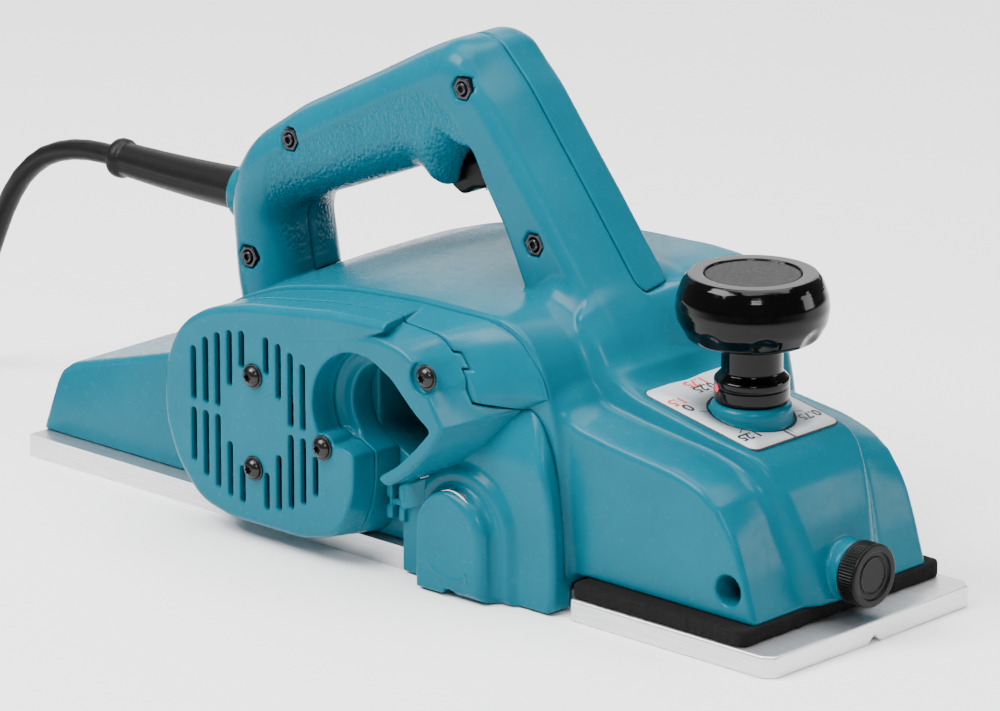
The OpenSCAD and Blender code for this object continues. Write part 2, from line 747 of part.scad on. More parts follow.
// Brass tubes that guide the brushes
module brush_holders() {
    color("goldenrod") for (a = brush_angles) translate([motor_x, 0, motor_z]) rotate([0, a, 0]) difference() {
        block([15, 14, -5], [29, 24, 5]);
        block([14, 15.5, -3.05], [30, 22.5, 3.05]);
    }
}

// Carbon brushes on the commutator
module carbon_brushes() {
    color("#333333") for (a = brush_angles) translate([motor_x, 0, motor_z]) rotate([0, a, 0])
        block([13.4, 15.6, -3], [24, 22.4, 3]);
}

// Screw caps behind the brushes
module brush_caps() {
    color("#141416") for (a = brush_angles) translate([motor_x, 0, motor_z]) rotate([0, a, 0]) difference() {
        translate([29.2, 19, 0]) rotate([0, 90, 0]) cylinder(r = 5.5, h = 5);
        block([33, 12, -0.7], [35, 26, 0.7]);
    }
}

// Switch in the top of the handle's front leg
module switch_body() {
    color("#1b1b1d") translate(switch_at) rotate([0, -grip_angle, 0]) difference() {
        block([-16, -11, 0.5], [8, 9, 17]);
        block([-8.2, -6.5, 0], [-3.8, 6.5, 9]);
    }
}

// Finger trigger, sliding into the handle
module trigger() {
    color("#0e0e10") translate(switch_at) rotate([0, -grip_angle, 0]) {
        difference() {
            slab([[-13, -6.3], [-13, -10], [-10, -17], [-5, -20.5], [3, -20.5], [6, -17], [6, -6.3]], -7.5, 7.5);
            slab([[-11, -6], [-11, -10], [-8, -15.5], [-4, -18.5], [2, -18.5], [4, -16], [4, -6]], -5.5, 5.5);
        }
        block([-7.7, -5.6, -18.6], [-4.3, 5.6, -0.3]);
    }
}

// Return spring of the trigger
module trigger_spring() {
    color("dimgray") translate(switch_at) rotate([0, -grip_angle, 0]) difference() {
        z_rod(-1.3, 0, 2.4, -18.3, 0.3);
        z_rod(-1.3, 0, 1.6, -19, 1);
    }
}

// Round button in the left of the handle that holds the trigger
module lock_button() {
    color("#101012") y_rod(button_x, button_z, 5, 14, handle_half + button_travel + 0.6);
}

// Return spring of the lock button
module lock_spring() {
    color("dimgray") y_ring(button_x, button_z, 3.4, 2.5, 9.3, 13.95);
}

// Interference capacitor in the rear of the handle
module capacitor() {
    color("#d8cf9a") translate([-60, 0, 140]) rotate([0, -27, 0]) block([-9, -6, -4.5], [12, 6, 4.5]);
}

// Screws through the handle from the left
module handle_screws() {
    color("#3a3b3d") for (b = handle_bolts) difference() {
        union() {
            y_rod(b[0], b[1], 2.1, -handle_half + 0.3, handle_half - 4);
            y_rod(b[0], b[1], 4, handle_half - 3.95, handle_half - 1);
        }
        y_hex(b[0], b[1], 1.8, handle_half - 2.6, handle_half);
    }
}

// Hex nuts in the right of the handle
module handle_nuts() {
    color("#55575a") for (b = handle_bolts) difference() {
        y_hex(b[0], b[1], 4.3, -handle_half + 0.6, -handle_half + 3.9);
        y_rod(b[0], b[1], 2.15, -handle_half, 0);
    }
}

// Black pan-head screws of the vented cover
module cover_screws() {
    color("#161618") for (p = screw_points) difference() {
        union() {
            y_rod(p[0], p[1], 1.75, cover_y - 1, bracket_y + 8);
            y_rod(p[0], p[1], 3.9, cover_y - 3.6, cover_y - 0.9);
        }
        y_hex(p[0], p[1], 1.7, cover_y - 4, cover_y - 2);
    }
}

// Washers under those screws
module cover_washers() {
    color("#2a2a2c") for (p = screw_points) y_ring(p[0], p[1], 4.6, 2, cover_y - 0.85, cover_y - 0.05);
}

// Screws of the belt cover
module belt_cover_screws() {
    color("#161618") for (p = belt_screw_points) difference() {
        union() {
            y_rod(p[0], p[1], 2, hump_left_y - 8, hump_left_y + 8.1);
            y_rod(p[0], p[1], 3.9, hump_left_y + 8.1, hump_left_y + 10.8);
        }
        y_hex(p[0], p[1], 1.7, hump_left_y + 9, hump_left_y + 12);
    }
}

// Countersunk screws through the rear sole
module sole_screws() {
    color("silver") for (p = sole_screw_points) {
        z_rod(p[0], p[1], 2.5, 3.9, rear_plate + 0.05);
        z_rod(p[0], p[1], 4.6, 0.8, 3.95);
    }
}

// Clamp that holds the cord inside the handle
module cord_clamp() {
    color("#2b2b2d") difference() {
        block([-103, -11, guard_z - 10], [-97, 11, guard_z - 2]);
        x_rod(0, guard_z, 4 + fit, -104, -96);
    }
}

// Tapered rubber guard where the cord leaves the handle
module cord_guard() {
    color("#131315") difference() {
        union() {
            x_rod(0, guard_z, 7.4, -122.1, -106);
            x_rod(0, guard_z, 9.5, -110.6, -108);
            translate([-122.1, 0, guard_z]) rotate([0, -90, 0]) rotate_extrude() polygon([
                [0, 0], [8.2, 0], [6.2, 64], [6.2, 65], [7.6, 66], [7.6, 68.4], [6.5, 69.9], [0, 69.9]
            ]);
        }
        x_rod(0, guard_z, cord_d / 2 + fit, -193, -100);
    }
}

// Ring of points round a route point, square to the route there
function route_ring(route, i, r, sides) =
    let (
        ahead = route[min(i + 1, len(route) - 1)] - route[max(i - 1, 0)],
        along = ahead / norm(ahead),
        up_raw = cross(along, [0, 1, 0]),
        up = up_raw / norm(up_raw),
        side = cross(along, up)
    )
    [for (k = [0 : sides - 1]) route[i] + r * (cos(360 * k / sides) * up + sin(360 * k / sides) * side)];

// Tube swept along a route
module route_tube(route, r, sides) {
    n = len(route);
    polyhedron(
        points = [for (i = [0 : n - 1]) each route_ring(route, i, r, sides)],
        faces = concat(
            [[for (k = [0 : sides - 1]) k]],
            [for (i = [0 : n - 2]) for (k = [0 : sides - 1])
                [i * sides + k, (i + 1) * sides + k, (i + 1) * sides + (k + 1) % sides, i * sides + (k + 1) % sides]],
            [[for (k = [sides - 1 : -1 : 0]) (n - 1) * sides + k]]
        )
    );
}

// Cord from the guard down to the coil
module cord_lead() {
    color("#161616") route_tube(lead_route, cord_d / 2, 10);
}

// Outer shape of the stored coil, two layers high
module cord_coil() {
    color("#161616") translate([coil_x, coil_y, 0]) rotate_extrude()
        translate([coil_inner_turn - cord_d / 2, 0]) square([coil_outer_turn - coil_inner_turn + cord_d, 2 * cord_d]);
}

// Cord from the coil to the plug
module cord_tail() {
    color("#161616") route_tube(tail_route, cord_d / 2, 10);
}

// Strap over the coil
module cord_tie() {
    color("#303234") translate([coil_x, coil_y, 0]) rotate([0, 0, 200]) difference() {
        block([coil_inner_turn - 6, -6, 0.2], [coil_outer_turn + 6, 6, 2 * cord_d + 1.6]);
        rotate_extrude() translate([coil_inner_turn - cord_d / 2 - 0.1, -1])
            square([coil_outer_turn - coil_inner_turn + cord_d + 0.2, 2 * cord_d + 1.1]);
    }
}

// Two-pin mains plug with a sleeved end
module cord_plug() {
    color("#1a1a1b") translate([plug_x, plug_y, 13]) union() {
        x_rod(0, 0, 5.5, 0, 16);
        difference() {
            x_rod(0, 0, 17.5, 15, 50);
            for (s = [-1, 1]) block([0, -20, s > 0 ? 12.9 : -20], [60, 20, s > 0 ? 20 : -12.9]);
        }
        for (s = [-1, 1]) x_rod(s * 9.5, 0, 2.3, 49, 69);
    }
}

rear_sole();
front_shoe();
foam_seal();
main_housing();
handle_cover();
side_bracket();
chip_cover();
drum_guard();
belt_cover();
scale_plate();
scale_screws();
depth_knob();
knob_cap();
pointer_dot();
depth_screw();
shoe_pins();
shoe_spring_right();
shoe_spring_left();
guide_knob();
guide_screw();
cutter_drum();
blades();
blade_clamps();
drum_bolts();
drum_bearings();
drum_pulley();
drive_belt();
motor_pulley();
armature_shaft();
armature_core();
armature_winding();
commutator();
cooling_fan();
motor_bearings();
stator();
field_coils();
brush_holders();
carbon_brushes();
brush_caps();
switch_body();
trigger();
trigger_spring();
lock_button();
lock_spring();
capacitor();
handle_screws();
handle_nuts();
cover_screws();
cover_washers();
belt_cover_screws();
sole_screws();
cord_clamp();
cord_guard();
cord_lead();
cord_coil();
cord_tail();
cord_tie();
cord_plug();
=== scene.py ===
"""Looks of the portable electric planer. Shapes are in millimetres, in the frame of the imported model."""
import math
import bpy
import numpy as np
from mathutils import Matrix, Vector


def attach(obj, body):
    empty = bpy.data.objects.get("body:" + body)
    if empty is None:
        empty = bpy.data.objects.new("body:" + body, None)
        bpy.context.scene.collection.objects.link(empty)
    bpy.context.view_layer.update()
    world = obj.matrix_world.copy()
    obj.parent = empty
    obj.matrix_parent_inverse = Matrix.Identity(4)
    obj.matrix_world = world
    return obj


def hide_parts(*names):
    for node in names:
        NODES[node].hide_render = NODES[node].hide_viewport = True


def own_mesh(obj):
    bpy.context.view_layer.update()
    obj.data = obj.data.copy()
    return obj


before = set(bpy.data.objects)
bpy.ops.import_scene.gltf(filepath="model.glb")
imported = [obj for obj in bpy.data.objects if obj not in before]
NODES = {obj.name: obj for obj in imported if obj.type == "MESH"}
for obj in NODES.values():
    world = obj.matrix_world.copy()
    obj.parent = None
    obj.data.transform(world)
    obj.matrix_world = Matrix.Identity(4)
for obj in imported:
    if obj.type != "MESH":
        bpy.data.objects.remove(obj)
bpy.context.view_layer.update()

MM = 0.001


# ---------------------------------------------------------------- camera, light, floor

CAMERA_AZIMUTH = 43.01
CAMERA_ELEVATION = 17.08
CAMERA_DISTANCE = 2500 * MM
CAMERA_TARGET = Vector((6.66, 0, 67.55)) * MM
CAMERA_LENS = 247.98


def direction(azimuth, elevation):
    """Unit vector towards a viewer at that azimuth and elevation, in degrees."""
    a, e = math.radians(azimuth), math.radians(elevation)
    return Vector((math.sin(a) * math.cos(e), -math.cos(a) * math.cos(e), math.sin(e)))


def make_camera():
    data = bpy.data.cameras.new("camera")
    data.lens = CAMERA_LENS
    data.sensor_width = 36
    data.clip_start, data.clip_end = 0.1, 50
    camera = bpy.data.objects.new("camera", data)
    back = direction(CAMERA_AZIMUTH, CAMERA_ELEVATION)
    camera.location = CAMERA_TARGET + back * CAMERA_DISTANCE
    camera.rotation_euler = (-back).to_track_quat("-Z", "Y").to_euler()
    bpy.context.scene.collection.objects.link(camera)
    bpy.context.scene.camera = camera


def area_light(name, azimuth, elevation, distance, width, height, power, target=(0, 0, 0.08)):
    """Soft rectangular light that faces the target."""
    data = bpy.data.lights.new(name, "AREA")
    data.shape = "RECTANGLE"
    data.size, data.size_y = width, height
    data.energy = power
    light = bpy.data.objects.new(name, data)
    back = direction(azimuth, elevation)
    light.location = Vector(target) + back * distance
    light.rotation_euler = (-back).to_track_quat("-Z", "Y").to_euler()
    bpy.context.scene.collection.objects.link(light)


# ---------------------------------------------------------------- distance fields

def outline(points, steps=8):
    """Closed outline in a plane. A point (u, v, r) has its corner rounded by an arc of up to r."""
    made = []
    count = len(points)
    for i, point in enumerate(points):
        here = np.array(point[:2], float)
        radius = point[2] if len(point) > 2 else 0
        before = np.array(points[i - 1][:2], float) - here
        after = np.array(points[(i + 1) % count][:2], float) - here
        len_before, len_after = np.hypot(*before), np.hypot(*after)
        before, after = before / len_before, after / len_after
        half = math.acos(max(-1, min(1, float(before @ after)))) / 2
        reach = min(radius / math.tan(half) if half > 1e-4 else 0, 0.49 * min(len_before, len_after))
        if radius == 0 or math.pi / 2 - half < 0.01:
            made.append(here)
            continue
        start, end = here + before * reach, here + after * reach
        for k in range(steps + 1):
            t = k / steps
            weight = math.sin(half)  # rational quadratic arc
            w = [(1 - t) ** 2, 2 * t * (1 - t) * weight, t * t]
            made.append((w[0] * start + w[1] * here + w[2] * end) / sum(w))
    return np.array(made)


def polygon(u, v, points):
    """Signed distance in a plane to a closed outline, negative inside."""
    nearest = None
    inside = None
    for (u0, v0), (u1, v1) in zip(points, np.roll(points, -1, 0)):
        du, dv = u1 - u0, v1 - v0
        square = du * du + dv * dv
        if square < 1e-12:
            continue
        wu, wv = u - np.float32(u0), v - np.float32(v0)
        t = np.clip((wu * du + wv * dv) / square, 0, 1).astype(np.float32)
        away = (wu - du * t) ** 2 + (wv - dv * t) ** 2
        nearest = away if nearest is None else np.minimum(nearest, away)
        if abs(dv) > 1e-9:
            rows = (v0 <= v) != (v1 <= v)
            crossed = rows & (u < u0 + (v - v0) * du / dv)
            inside = crossed if inside is None else inside ^ crossed
    distance = np.sqrt(nearest)
    return np.where(inside, -distance, distance).astype(np.float32)


def between(v, low, high):
    return np.abs(v - (low + high) / 2) - (high - low) / 2


def join(a, b, r=0):
    """Union with a fillet of radius r."""
    if np.isscalar(r) and r == 0:
        return np.minimum(a, b)
    return np.maximum(r, np.minimum(a, b)) - np.hypot(np.maximum(r - a, 0), np.maximum(r - b, 0))


def meet(a, b, r=0):
    """Intersection with the edge rounded by r."""
    if np.isscalar(r) and r == 0:
        return np.maximum(a, b)
    return np.minimum(-r, np.maximum(a, b)) + np.hypot(np.maximum(r + a, 0), np.maximum(r + b, 0))


def cut(a, b, r=0):
    """a without b, with the edge rounded by r."""
    return meet(a, -b, r)


def ramp(v, start, end):
    """Smooth step from 0 at start to 1 at end."""
    t = np.clip((v - start) / (end - start), 0, 1)
    return t * t * (3 - 2 * t)


def y_bar(x, y, z, cx, cz, r, y0, y1, edge=0):
    return meet(np.hypot(x - cx, z - cz) - r, between(y, y0, y1), edge)


def x_bar(x, y, z, cy, cz, r, x0, x1, edge=0):
    return meet(np.hypot(y - cy, z - cz) - r, between(x, x0, x1), edge)


def z_bar(x, y, z, cx, cy, r, z0, z1, edge=0):
    return meet(np.hypot(x - cx, y - cy) - r, between(z, z0, z1), edge)


def brick(x, y, z, low, high, edge=0):
    flat = meet(between(x, low[0], high[0]), between(z, low[2], high[2]), edge)
    return meet(flat, between(y, low[1], high[1]), edge)


def hexagon(u, v, cu, cv, r):
    """Distance in a plane to a hexagon of corner radius r with a corner on the u axis."""
    du, dv = np.abs(u - cu), np.abs(v - cv)
    flat = r * math.cos(math.pi / 6)
    return np.maximum(dv, du * math.cos(math.pi / 6) + dv * 0.5) - flat


def lobes(u, v, cu, cv, r, depth, count=6):
    """Distance in a plane to a round star with soft points."""
    du, dv = u - cu, v - cv
    return np.hypot(du, dv) - r + depth * (0.5 - 0.5 * np.cos(count * np.arctan2(dv, du)))


# ---------------------------------------------------------------- surface of a field

CORNERS = [(i, j, k) for i in (0, 1) for j in (0, 1) for k in (0, 1)]
EDGES = [(a, b) for a in range(8) for b in range(a + 1, 8) if bin(a ^ b).count("1") == 1]


def shifted(grid, corner):
    i, j, k = corner
    n = grid.shape
    return grid[i:n[0] - 1 + i, j:n[1] - 1 + j, k:n[2] - 1 + k]


def surface_net(values):
    """Vertices in grid units and quads of the zero surface of a grid of distances."""
    inside = values < 0
    count = sum(shifted(inside, c).astype(np.int8) for c in CORNERS)
    active = (count > 0) & (count < 8)
    cells = np.argwhere(active)
    index = np.full(active.shape, -1, np.int32)
    index[active] = np.arange(len(cells), dtype=np.int32)
    corner = [shifted(values, c)[active] for c in CORNERS]
    total = np.zeros((len(cells), 3))
    hits = np.zeros(len(cells))
    for a, b in EDGES:
        hit = (corner[a] < 0) != (corner[b] < 0)
        t = np.where(hit, corner[a] / np.where(hit, corner[a] - corner[b], 1), 0)
        start, step = np.array(CORNERS[a]), np.array(CORNERS[b]) - np.array(CORNERS[a])
        total += hit[:, None] * (start + t[:, None] * step)
        hits += hit
    points = cells + total / hits[:, None]
    quads = []
    for axis in range(3):
        one, two = (axis + 1) % 3, (axis + 2) % 3
        low = [slice(None)] * 3
        high = [slice(None)] * 3
        low[axis], high[axis] = slice(None, -1), slice(1, None)
        for other in (one, two):
            low[other] = high[other] = slice(1, -1)
        near, far = inside[tuple(low)], inside[tuple(high)]
        at = np.argwhere(near != far)
        outward = near[tuple(at.T)]
        base = at.copy()
        base[:, one] += 1
        base[:, two] += 1
        around = []
        for s, t in ((-1, -1), (0, -1), (0, 0), (-1, 0)):
            cell = base.copy()
            cell[:, one] += s
            cell[:, two] += t
            around.append(index[tuple(cell.T)])
        quad = np.stack(around, 1)
        quad[~outward] = quad[~outward][:, ::-1]
        quads.append(quad)
    return points, np.concatenate(quads)


def sample(values, at):
    """Values of the grid between its points, in grid units."""
    top = np.array(values.shape) - 2
    base = np.clip(np.floor(at).astype(np.int64), 0, top)
    part = np.clip(at - base, 0, 1)
    found = np.zeros(len(at))
    for c in CORNERS:
        weight = np.prod([part[:, a] if c[a] else 1 - part[:, a] for a in range(3)], axis=0)
        found += weight * values[base[:, 0] + c[0], base[:, 1] + c[1], base[:, 2] + c[2]]
    return found


def slope(values, at, reach=0.8):
    """Unit direction in which the grid's values grow."""
    made = np.zeros(at.shape)
    for axis in range(3):
        offset = np.zeros(3)
        offset[axis] = reach
        made[:, axis] = sample(values, at + offset) - sample(values, at - offset)
    return made / np.maximum(np.linalg.norm(made, axis=1), 1e-9)[:, None]


def mesh_object(name, points, faces):
    """Object from an array of points in metres and an array of quads or triangles."""
    mesh = bpy.data.meshes.new(name)
    corners = faces.shape[1]
    mesh.vertices.add(len(points))
    mesh.vertices.foreach_set("co", points.astype(np.float32).ravel())
    mesh.loops.add(faces.size)
    mesh.loops.foreach_set("vertex_index", faces.astype(np.int32).ravel())
    mesh.polygons.add(len(faces))
    mesh.polygons.foreach_set("loop_start", np.arange(0, faces.size, corners, dtype=np.int32))
    mesh.update(calc_edges=True)
    mesh.validate()
    made = bpy.data.objects.new(name, mesh)
    bpy.context.scene.collection.objects.link(made)
    return made


def vertices(mesh):
    co = np.zeros(len(mesh.vertices) * 3, np.float32)
    mesh.vertices.foreach_get("co", co)
    return co.reshape(-1, 3).astype(float)


def solidify_field(name, shape, low, high, step, limit=180000, masks=()):
    """Mesh of the body where shape(x, y, z) is negative, with normals from the field itself."""
    low = np.array(low, float) - 2.5 * step
    counts = np.ceil((np.array(high, float) + 2.5 * step - low) / step).astype(int) + 1
    steps = [np.float32(step) * np.arange(count, dtype=np.float32) for count in counts]
    x, y, z = (np.float32(start) + along for start, along in zip(low, steps))
    values = shape(x[:, None, None], y[None, :, None], z[None, None, :])
    values = np.ascontiguousarray(np.broadcast_to(values, tuple(counts)), np.float32)
    points, quads = surface_net(values)
    made = mesh_object(name, points * step, quads)
    if 2 * len(quads) > limit:
        modifier = made.modifiers.new("fewer", "DECIMATE")
        modifier.ratio = limit / (2 * len(quads))
        graph = bpy.context.evaluated_depsgraph_get()
        fewer = bpy.data.meshes.new_from_object(made.evaluated_get(graph))
        made.modifiers.clear()
        made.data = fewer
        fewer.name = name
    at = vertices(made.data) / step
    for _ in range(2):
        gap = np.clip(sample(values, at) / step, -0.3, 0.3)
        at = at - slope(values, at) * gap[:, None]
    normals = slope(values, at)
    spots = at * step + low
    made.data.vertices.foreach_set("co", (spots * MM).astype(np.float32).ravel())
    for mask_name, mask in masks:
        layer = made.data.attributes.new(mask_name, "FLOAT", "POINT")
        layer.data.foreach_set("value", np.asarray(mask(*spots.T), np.float32))
    made.data.polygons.foreach_set("use_smooth", np.ones(len(made.data.polygons), bool))
    made.data.update()
    made.data.normals_split_custom_set_from_vertices(normals.tolist())
    return made


# ---------------------------------------------------------------- materials

def material(name, base, roughness, metallic=0.0, specular=0.5):
    made = bpy.data.materials.new(name)
    made.use_nodes = True
    shader = made.node_tree.nodes["Principled BSDF"]
    shader.inputs["Base Color"].default_value = (*base, 1)
    shader.inputs["Roughness"].default_value = roughness
    shader.inputs["Metallic"].default_value = metallic
    shader.inputs["Specular IOR Level"].default_value = specular
    return made, made.node_tree, shader


def add(tree, kind, **settings):
    node = tree.nodes.new(kind)
    for key, value in settings.items():
        if key in node.inputs:
            node.inputs[key].default_value = value
        else:
            setattr(node, key, value)
    return node


def noise(tree, scale, detail=4.0, roughness=0.55, stretch=None):
    """Noise over the object's own coordinates, optionally stretched along the axes."""
    place = add(tree, "ShaderNodeTexCoord")
    made = add(tree, "ShaderNodeTexNoise", Scale=scale, Detail=detail, Roughness=roughness)
    if stretch:
        mapping = add(tree, "ShaderNodeMapping", Scale=stretch)
        tree.links.new(place.outputs["Object"], mapping.inputs["Vector"])
        tree.links.new(mapping.outputs["Vector"], made.inputs["Vector"])
    else:
        tree.links.new(place.outputs["Object"], made.inputs["Vector"])
    return made.outputs["Fac"]


def spread(tree, value, low, high, start=0.3, end=0.7):
    """Value mapped from start..end to low..high."""
    node = add(tree, "ShaderNodeMapRange")
    tree.links.new(value, node.inputs["Value"])
    for key, number in (("From Min", start), ("From Max", end), ("To Min", low), ("To Max", high)):
        node.inputs[key].default_value = number
    return node.outputs["Result"]


def tint(tree, shader, value, one, two):
    """Base colour that drifts between two tones with the noise."""
    node = add(tree, "ShaderNodeMix", data_type="RGBA")
    factor, first, second = (node.inputs[k] for k in (0, 6, 7))
    tree.links.new(spread(tree, value, 0, 1), factor)
    first.default_value = (*one, 1)
    second.default_value = (*two, 1)
    tree.links.new(node.outputs[2], shader.inputs["Base Color"])


def bump(tree, shader, height, strength, distance, below=None):
    node = add(tree, "ShaderNodeBump", Strength=strength, Distance=distance)
    tree.links.new(height, node.inputs["Height"])
    if below:
        tree.links.new(below, node.inputs["Normal"])
    tree.links.new(node.outputs["Normal"], shader.inputs["Normal"])
    return node.outputs["Normal"]


TEAL = (0.000, 0.100, 0.146)
TEAL_DARK = (0.000, 0.094, 0.138)
TEAL_LIGHT = (0.000, 0.106, 0.154)


def teal_plastic(name="teal_plastic", grip=False):
    """Glossy moulded plastic with a faint flow mottle; where the grip mask is set it is pebbled."""
    made, tree, shader = material(name, TEAL, 0.25, specular=0.11)
    tint(tree, shader, noise(tree, 45, 5, 0.6), TEAL_DARK, TEAL_LIGHT)
    tree.links.new(spread(tree, noise(tree, 300, 3), 0.20, 0.29), shader.inputs["Roughness"])
    fine = bump(tree, shader, noise(tree, 1900, 2), 0.05, 0.0002)
    if grip:
        place = add(tree, "ShaderNodeTexCoord")
        pebbles = add(tree, "ShaderNodeTexVoronoi", feature="SMOOTH_F1", Scale=780, Smoothness=0.35)
        bent = add(tree, "ShaderNodeMapping", Scale=(1, 1, 0.75), Rotation=(0, -0.42, 0))
        tree.links.new(place.outputs["Object"], bent.inputs["Vector"])
        tree.links.new(bent.outputs["Vector"], pebbles.inputs["Vector"])
        mask = add(tree, "ShaderNodeAttribute", attribute_name="grip")
        height = add(tree, "ShaderNodeMath", operation="MULTIPLY")
        tree.links.new(spread(tree, pebbles.outputs["Distance"], 1, 0, 0.1, 0.8), height.inputs[0])
        tree.links.new(mask.outputs["Fac"], height.inputs[1])
        bump(tree, shader, height.outputs[0], 0.6, 0.0005, fine)
    return made


def brushed_aluminium(name, stretch, base=(0.62, 0.63, 0.645), roughness=0.34):
    """Machined aluminium with fine scratches along one axis and faint stains."""
    made, tree, shader = material(name, base, roughness, metallic=1.0)
    fine = noise(tree, 900, 6, 0.75, stretch)
    coarse = noise(tree, 60, 5, 0.6, stretch)
    dark = tuple(0.86 * c for c in base)
    light = tuple(min(1.0, 1.1 * c) for c in base)
    tint(tree, shader, coarse, dark, light)
    tree.links.new(spread(tree, fine, roughness - 0.08, roughness + 0.14), shader.inputs["Roughness"])
    bump(tree, shader, fine, 0.25, 0.0001)
    return made


def plain(name, base, roughness, metallic=0.0, grain=700, lift=0.12, shade=0.12, specular=0.5):
    """Solid colour with a fine grain in tone, roughness and height."""
    made, tree, shader = material(name, base, roughness, metallic, specular)
    dark = tuple(c * (1 - shade) for c in base)
    light = tuple(min(1.0, c * (1 + shade)) for c in base)
    tint(tree, shader, noise(tree, grain * 0.12, 4), dark, light)
    tree.links.new(spread(tree, noise(tree, grain * 0.5, 3), max(0.02, roughness - 0.05), roughness + 0.06),
                   shader.inputs["Roughness"])
    bump(tree, shader, noise(tree, grain, 3), lift, 0.0002)
    return made


def foam_rubber():
    """Dull black foam with open cells."""
    made, tree, shader = material("foam_rubber", (0.008, 0.008, 0.008), 0.9, specular=0.15)
    cells = noise(tree, 1400, 4, 0.7)
    tint(tree, shader, cells, (0.002, 0.002, 0.002), (0.010, 0.009, 0.009))
    bump(tree, shader, cells, 0.8, 0.0008)
    return made


# ---------------------------------------------------------------- dimensions shared with the frame

# places across the tool, y
HUMP_RIGHT = -50
HUMP_LEFT = 64
BODY_HALF = 47
HANDLE_HALF = 22
COVER_Y = -73
BRACKET_Y = -62
GUARD_Y = -57.5
BULGE_Y = -67
# axes and screws, (x, z)
MOTOR = (-47, 48)
DRUM = (44, 29.1)
GUIDE = (158, 24.5)
KNOB_X = 127.5
CORD_Z = 105
HANDLE_BOLTS = [(8, 172), (-79, 137), (43, 121), (-101, 88)]
COVER_SCREWS = [(-47, 65), (-47, 30), (-12, 45.5), (37.7, 82)]
BELT_SCREWS = [(-74, 77), (-74, 19), (8, 80), (78, 29.5)]
GRIP_TILT = math.radians(23)
SWITCH_AT = (-3, 147)
LOCK_AT = (-14, 154)
SEAM = 0.18  # half of the gap between two mouldings
MOTOR_ROOM = 36.4  # bore of the side unit round the motor
DRUM_ROOM = 32  # bore of the side unit round the drum
BODY_BOTTOM = 14.2
SHOE_TOP = 8.1
SHOE_TRAVEL = 2

HUMP_RIM = outline([
    (-97, -2), (-97, 62, 20), (-94.5, 69, 40), (-87, 77.5, 60), (-75.5, 84.3, 90), (-55.8, 92.4, 120),
    (-21.9, 98.9, 200), (14.4, 101.6, 200), (55, 102, 60), (64.5, 98, 24), (72, 90, 40), (76.5, 80, 40),
    (80, 66, 60), (85.8, 4), (70, 4), (70, 30), (20, 30), (20, -2)
])
HUMP_FAR = outline([
    (-99, -2), (-99, 62, 20), (-97, 72, 40), (-91.5, 80.1, 60), (-70.7, 88.5, 90), (-50.2, 95, 120),
    (-20, 102, 200), (14, 106.3, 200), (58, 108, 90), (76, 107, 18), (84, 98, 40), (94, 78, 60),
    (98, 60, 60), (100.4, 4), (70, 4), (70, 30), (20, 30), (20, -2)
])
SHOULDER = outline([
    (70, 2), (70, 80), (79.6, 78, 10), (85.7, 71.5, 30), (102.6, 68.5, 60), (132.4, 64.8, 60),
    (146, 61, 30), (154.5, 55, 8), (159, 47, 30), (165, 30.4, 100), (173.8, 2)
])
RIDGE = outline([
    (70, 2), (70, 100), (78.5, 92, 10), (83.5, 83.5, 14), (96.5, 77.5, 30), (149, 67.5, 30),
    (157, 63.2, 14), (163, 55, 18), (167.5, 43, 60), (172.5, 25.6, 60), (175.4, 2)
])
REAR = outline([
    (-191.5, -4), (-178.7, 29.4, 12), (-176, 34, 6), (-170, 38.2, 9), (-145.6, 45, 80), (-121, 52, 60),
    (-90, 61), (-90, -4)
])
HANDLE = outline([
    (-106, 50), (-112.5, 78, 60), (-115, 106, 30), (-113, 119, 30), (-104, 132.5, 40), (-78.8, 149.2, 60),
    (-42.9, 167.4, 200), (-15.3, 182, 200), (-2, 187.8, 14), (7.5, 185.5, 10), (22.2, 171.2, 60),
    (38, 151.7, 100), (51.7, 135, 100), (66, 117, 100), (79.5, 100, 60), (90, 84), (90, 60)
])
GAP = outline([
    (-80, 40), (-86.5, 82, 60), (-90.5, 104, 9), (-84, 110, 30), (-57.7, 120.5, 60), (-20, 136.2, 6),
    (-14.2, 131.3, 3), (-9.7, 130, 3), (-4.7, 132, 3), (-2.5, 140, 4), (4, 150, 4), (12, 150, 3),
    (19.9, 136.8, 30), (28.7, 123.7, 30), (37, 106.8, 30), (44, 90), (44, 40)
])
GRIP_PANEL = outline([
    (-70, 60), (-86, 84, 6), (-92.4, 98, 20), (-92, 118, 20), (-88, 129.5, 8), (-77.9, 133.6, 30),
    (-49.7, 149.2, 60), (-24, 163.5, 9), (-9.5, 168.2, 8), (1.3, 163.1, 8), (13.5, 149, 20), (20, 134),
    (0, 100)
])
DUCT = outline([(12, 40), (-6, 49, 6), (-6, 76, 8), (2, 84, 6), (22, 83, 8), (36, 66, 6), (34, 50, 6)])


def handle_body(x, y, z):
    """Both halves of the closed handle."""
    front = ramp(x, -2, 14)
    side = np.abs(y)
    crown = front * 4.2 * (side / HANDLE_HALF) ** 1.35
    radius = (12 - 7 * front).astype(np.float32)
    solid = meet(polygon(x, z, HANDLE) + crown, side - HANDLE_HALF, radius)
    near_leg = ramp(x + 0.62 * (z - 137), 4, 16)
    floor = ramp(z, 96, 88)
    inner = (15 - 12.5 * near_leg) * (1 - 0.7 * floor * (x > -40))
    solid = cut(solid, polygon(x, z, GAP), inner.astype(np.float32))
    panel = polygon(x, z, GRIP_PANEL)
    return solid + 0.45 * ramp(panel, 0.9, -0.3)


def hump_body(x, y, z):
    """Crowned mass over the drum and motor, larger on the left."""
    share = ramp(y, HUMP_RIGHT, 58)
    loft = polygon(x, z, HUMP_RIM) * (1 - share) + polygon(x, z, HUMP_FAR) * share
    loft = loft - 0.9 * np.clip(1 - (y / 50) ** 2, 0, 1)
    edge = np.where(y < 0, 1.3, 9).astype(np.float32)
    return meet(loft, between(y, HUMP_RIGHT, HUMP_LEFT), edge)


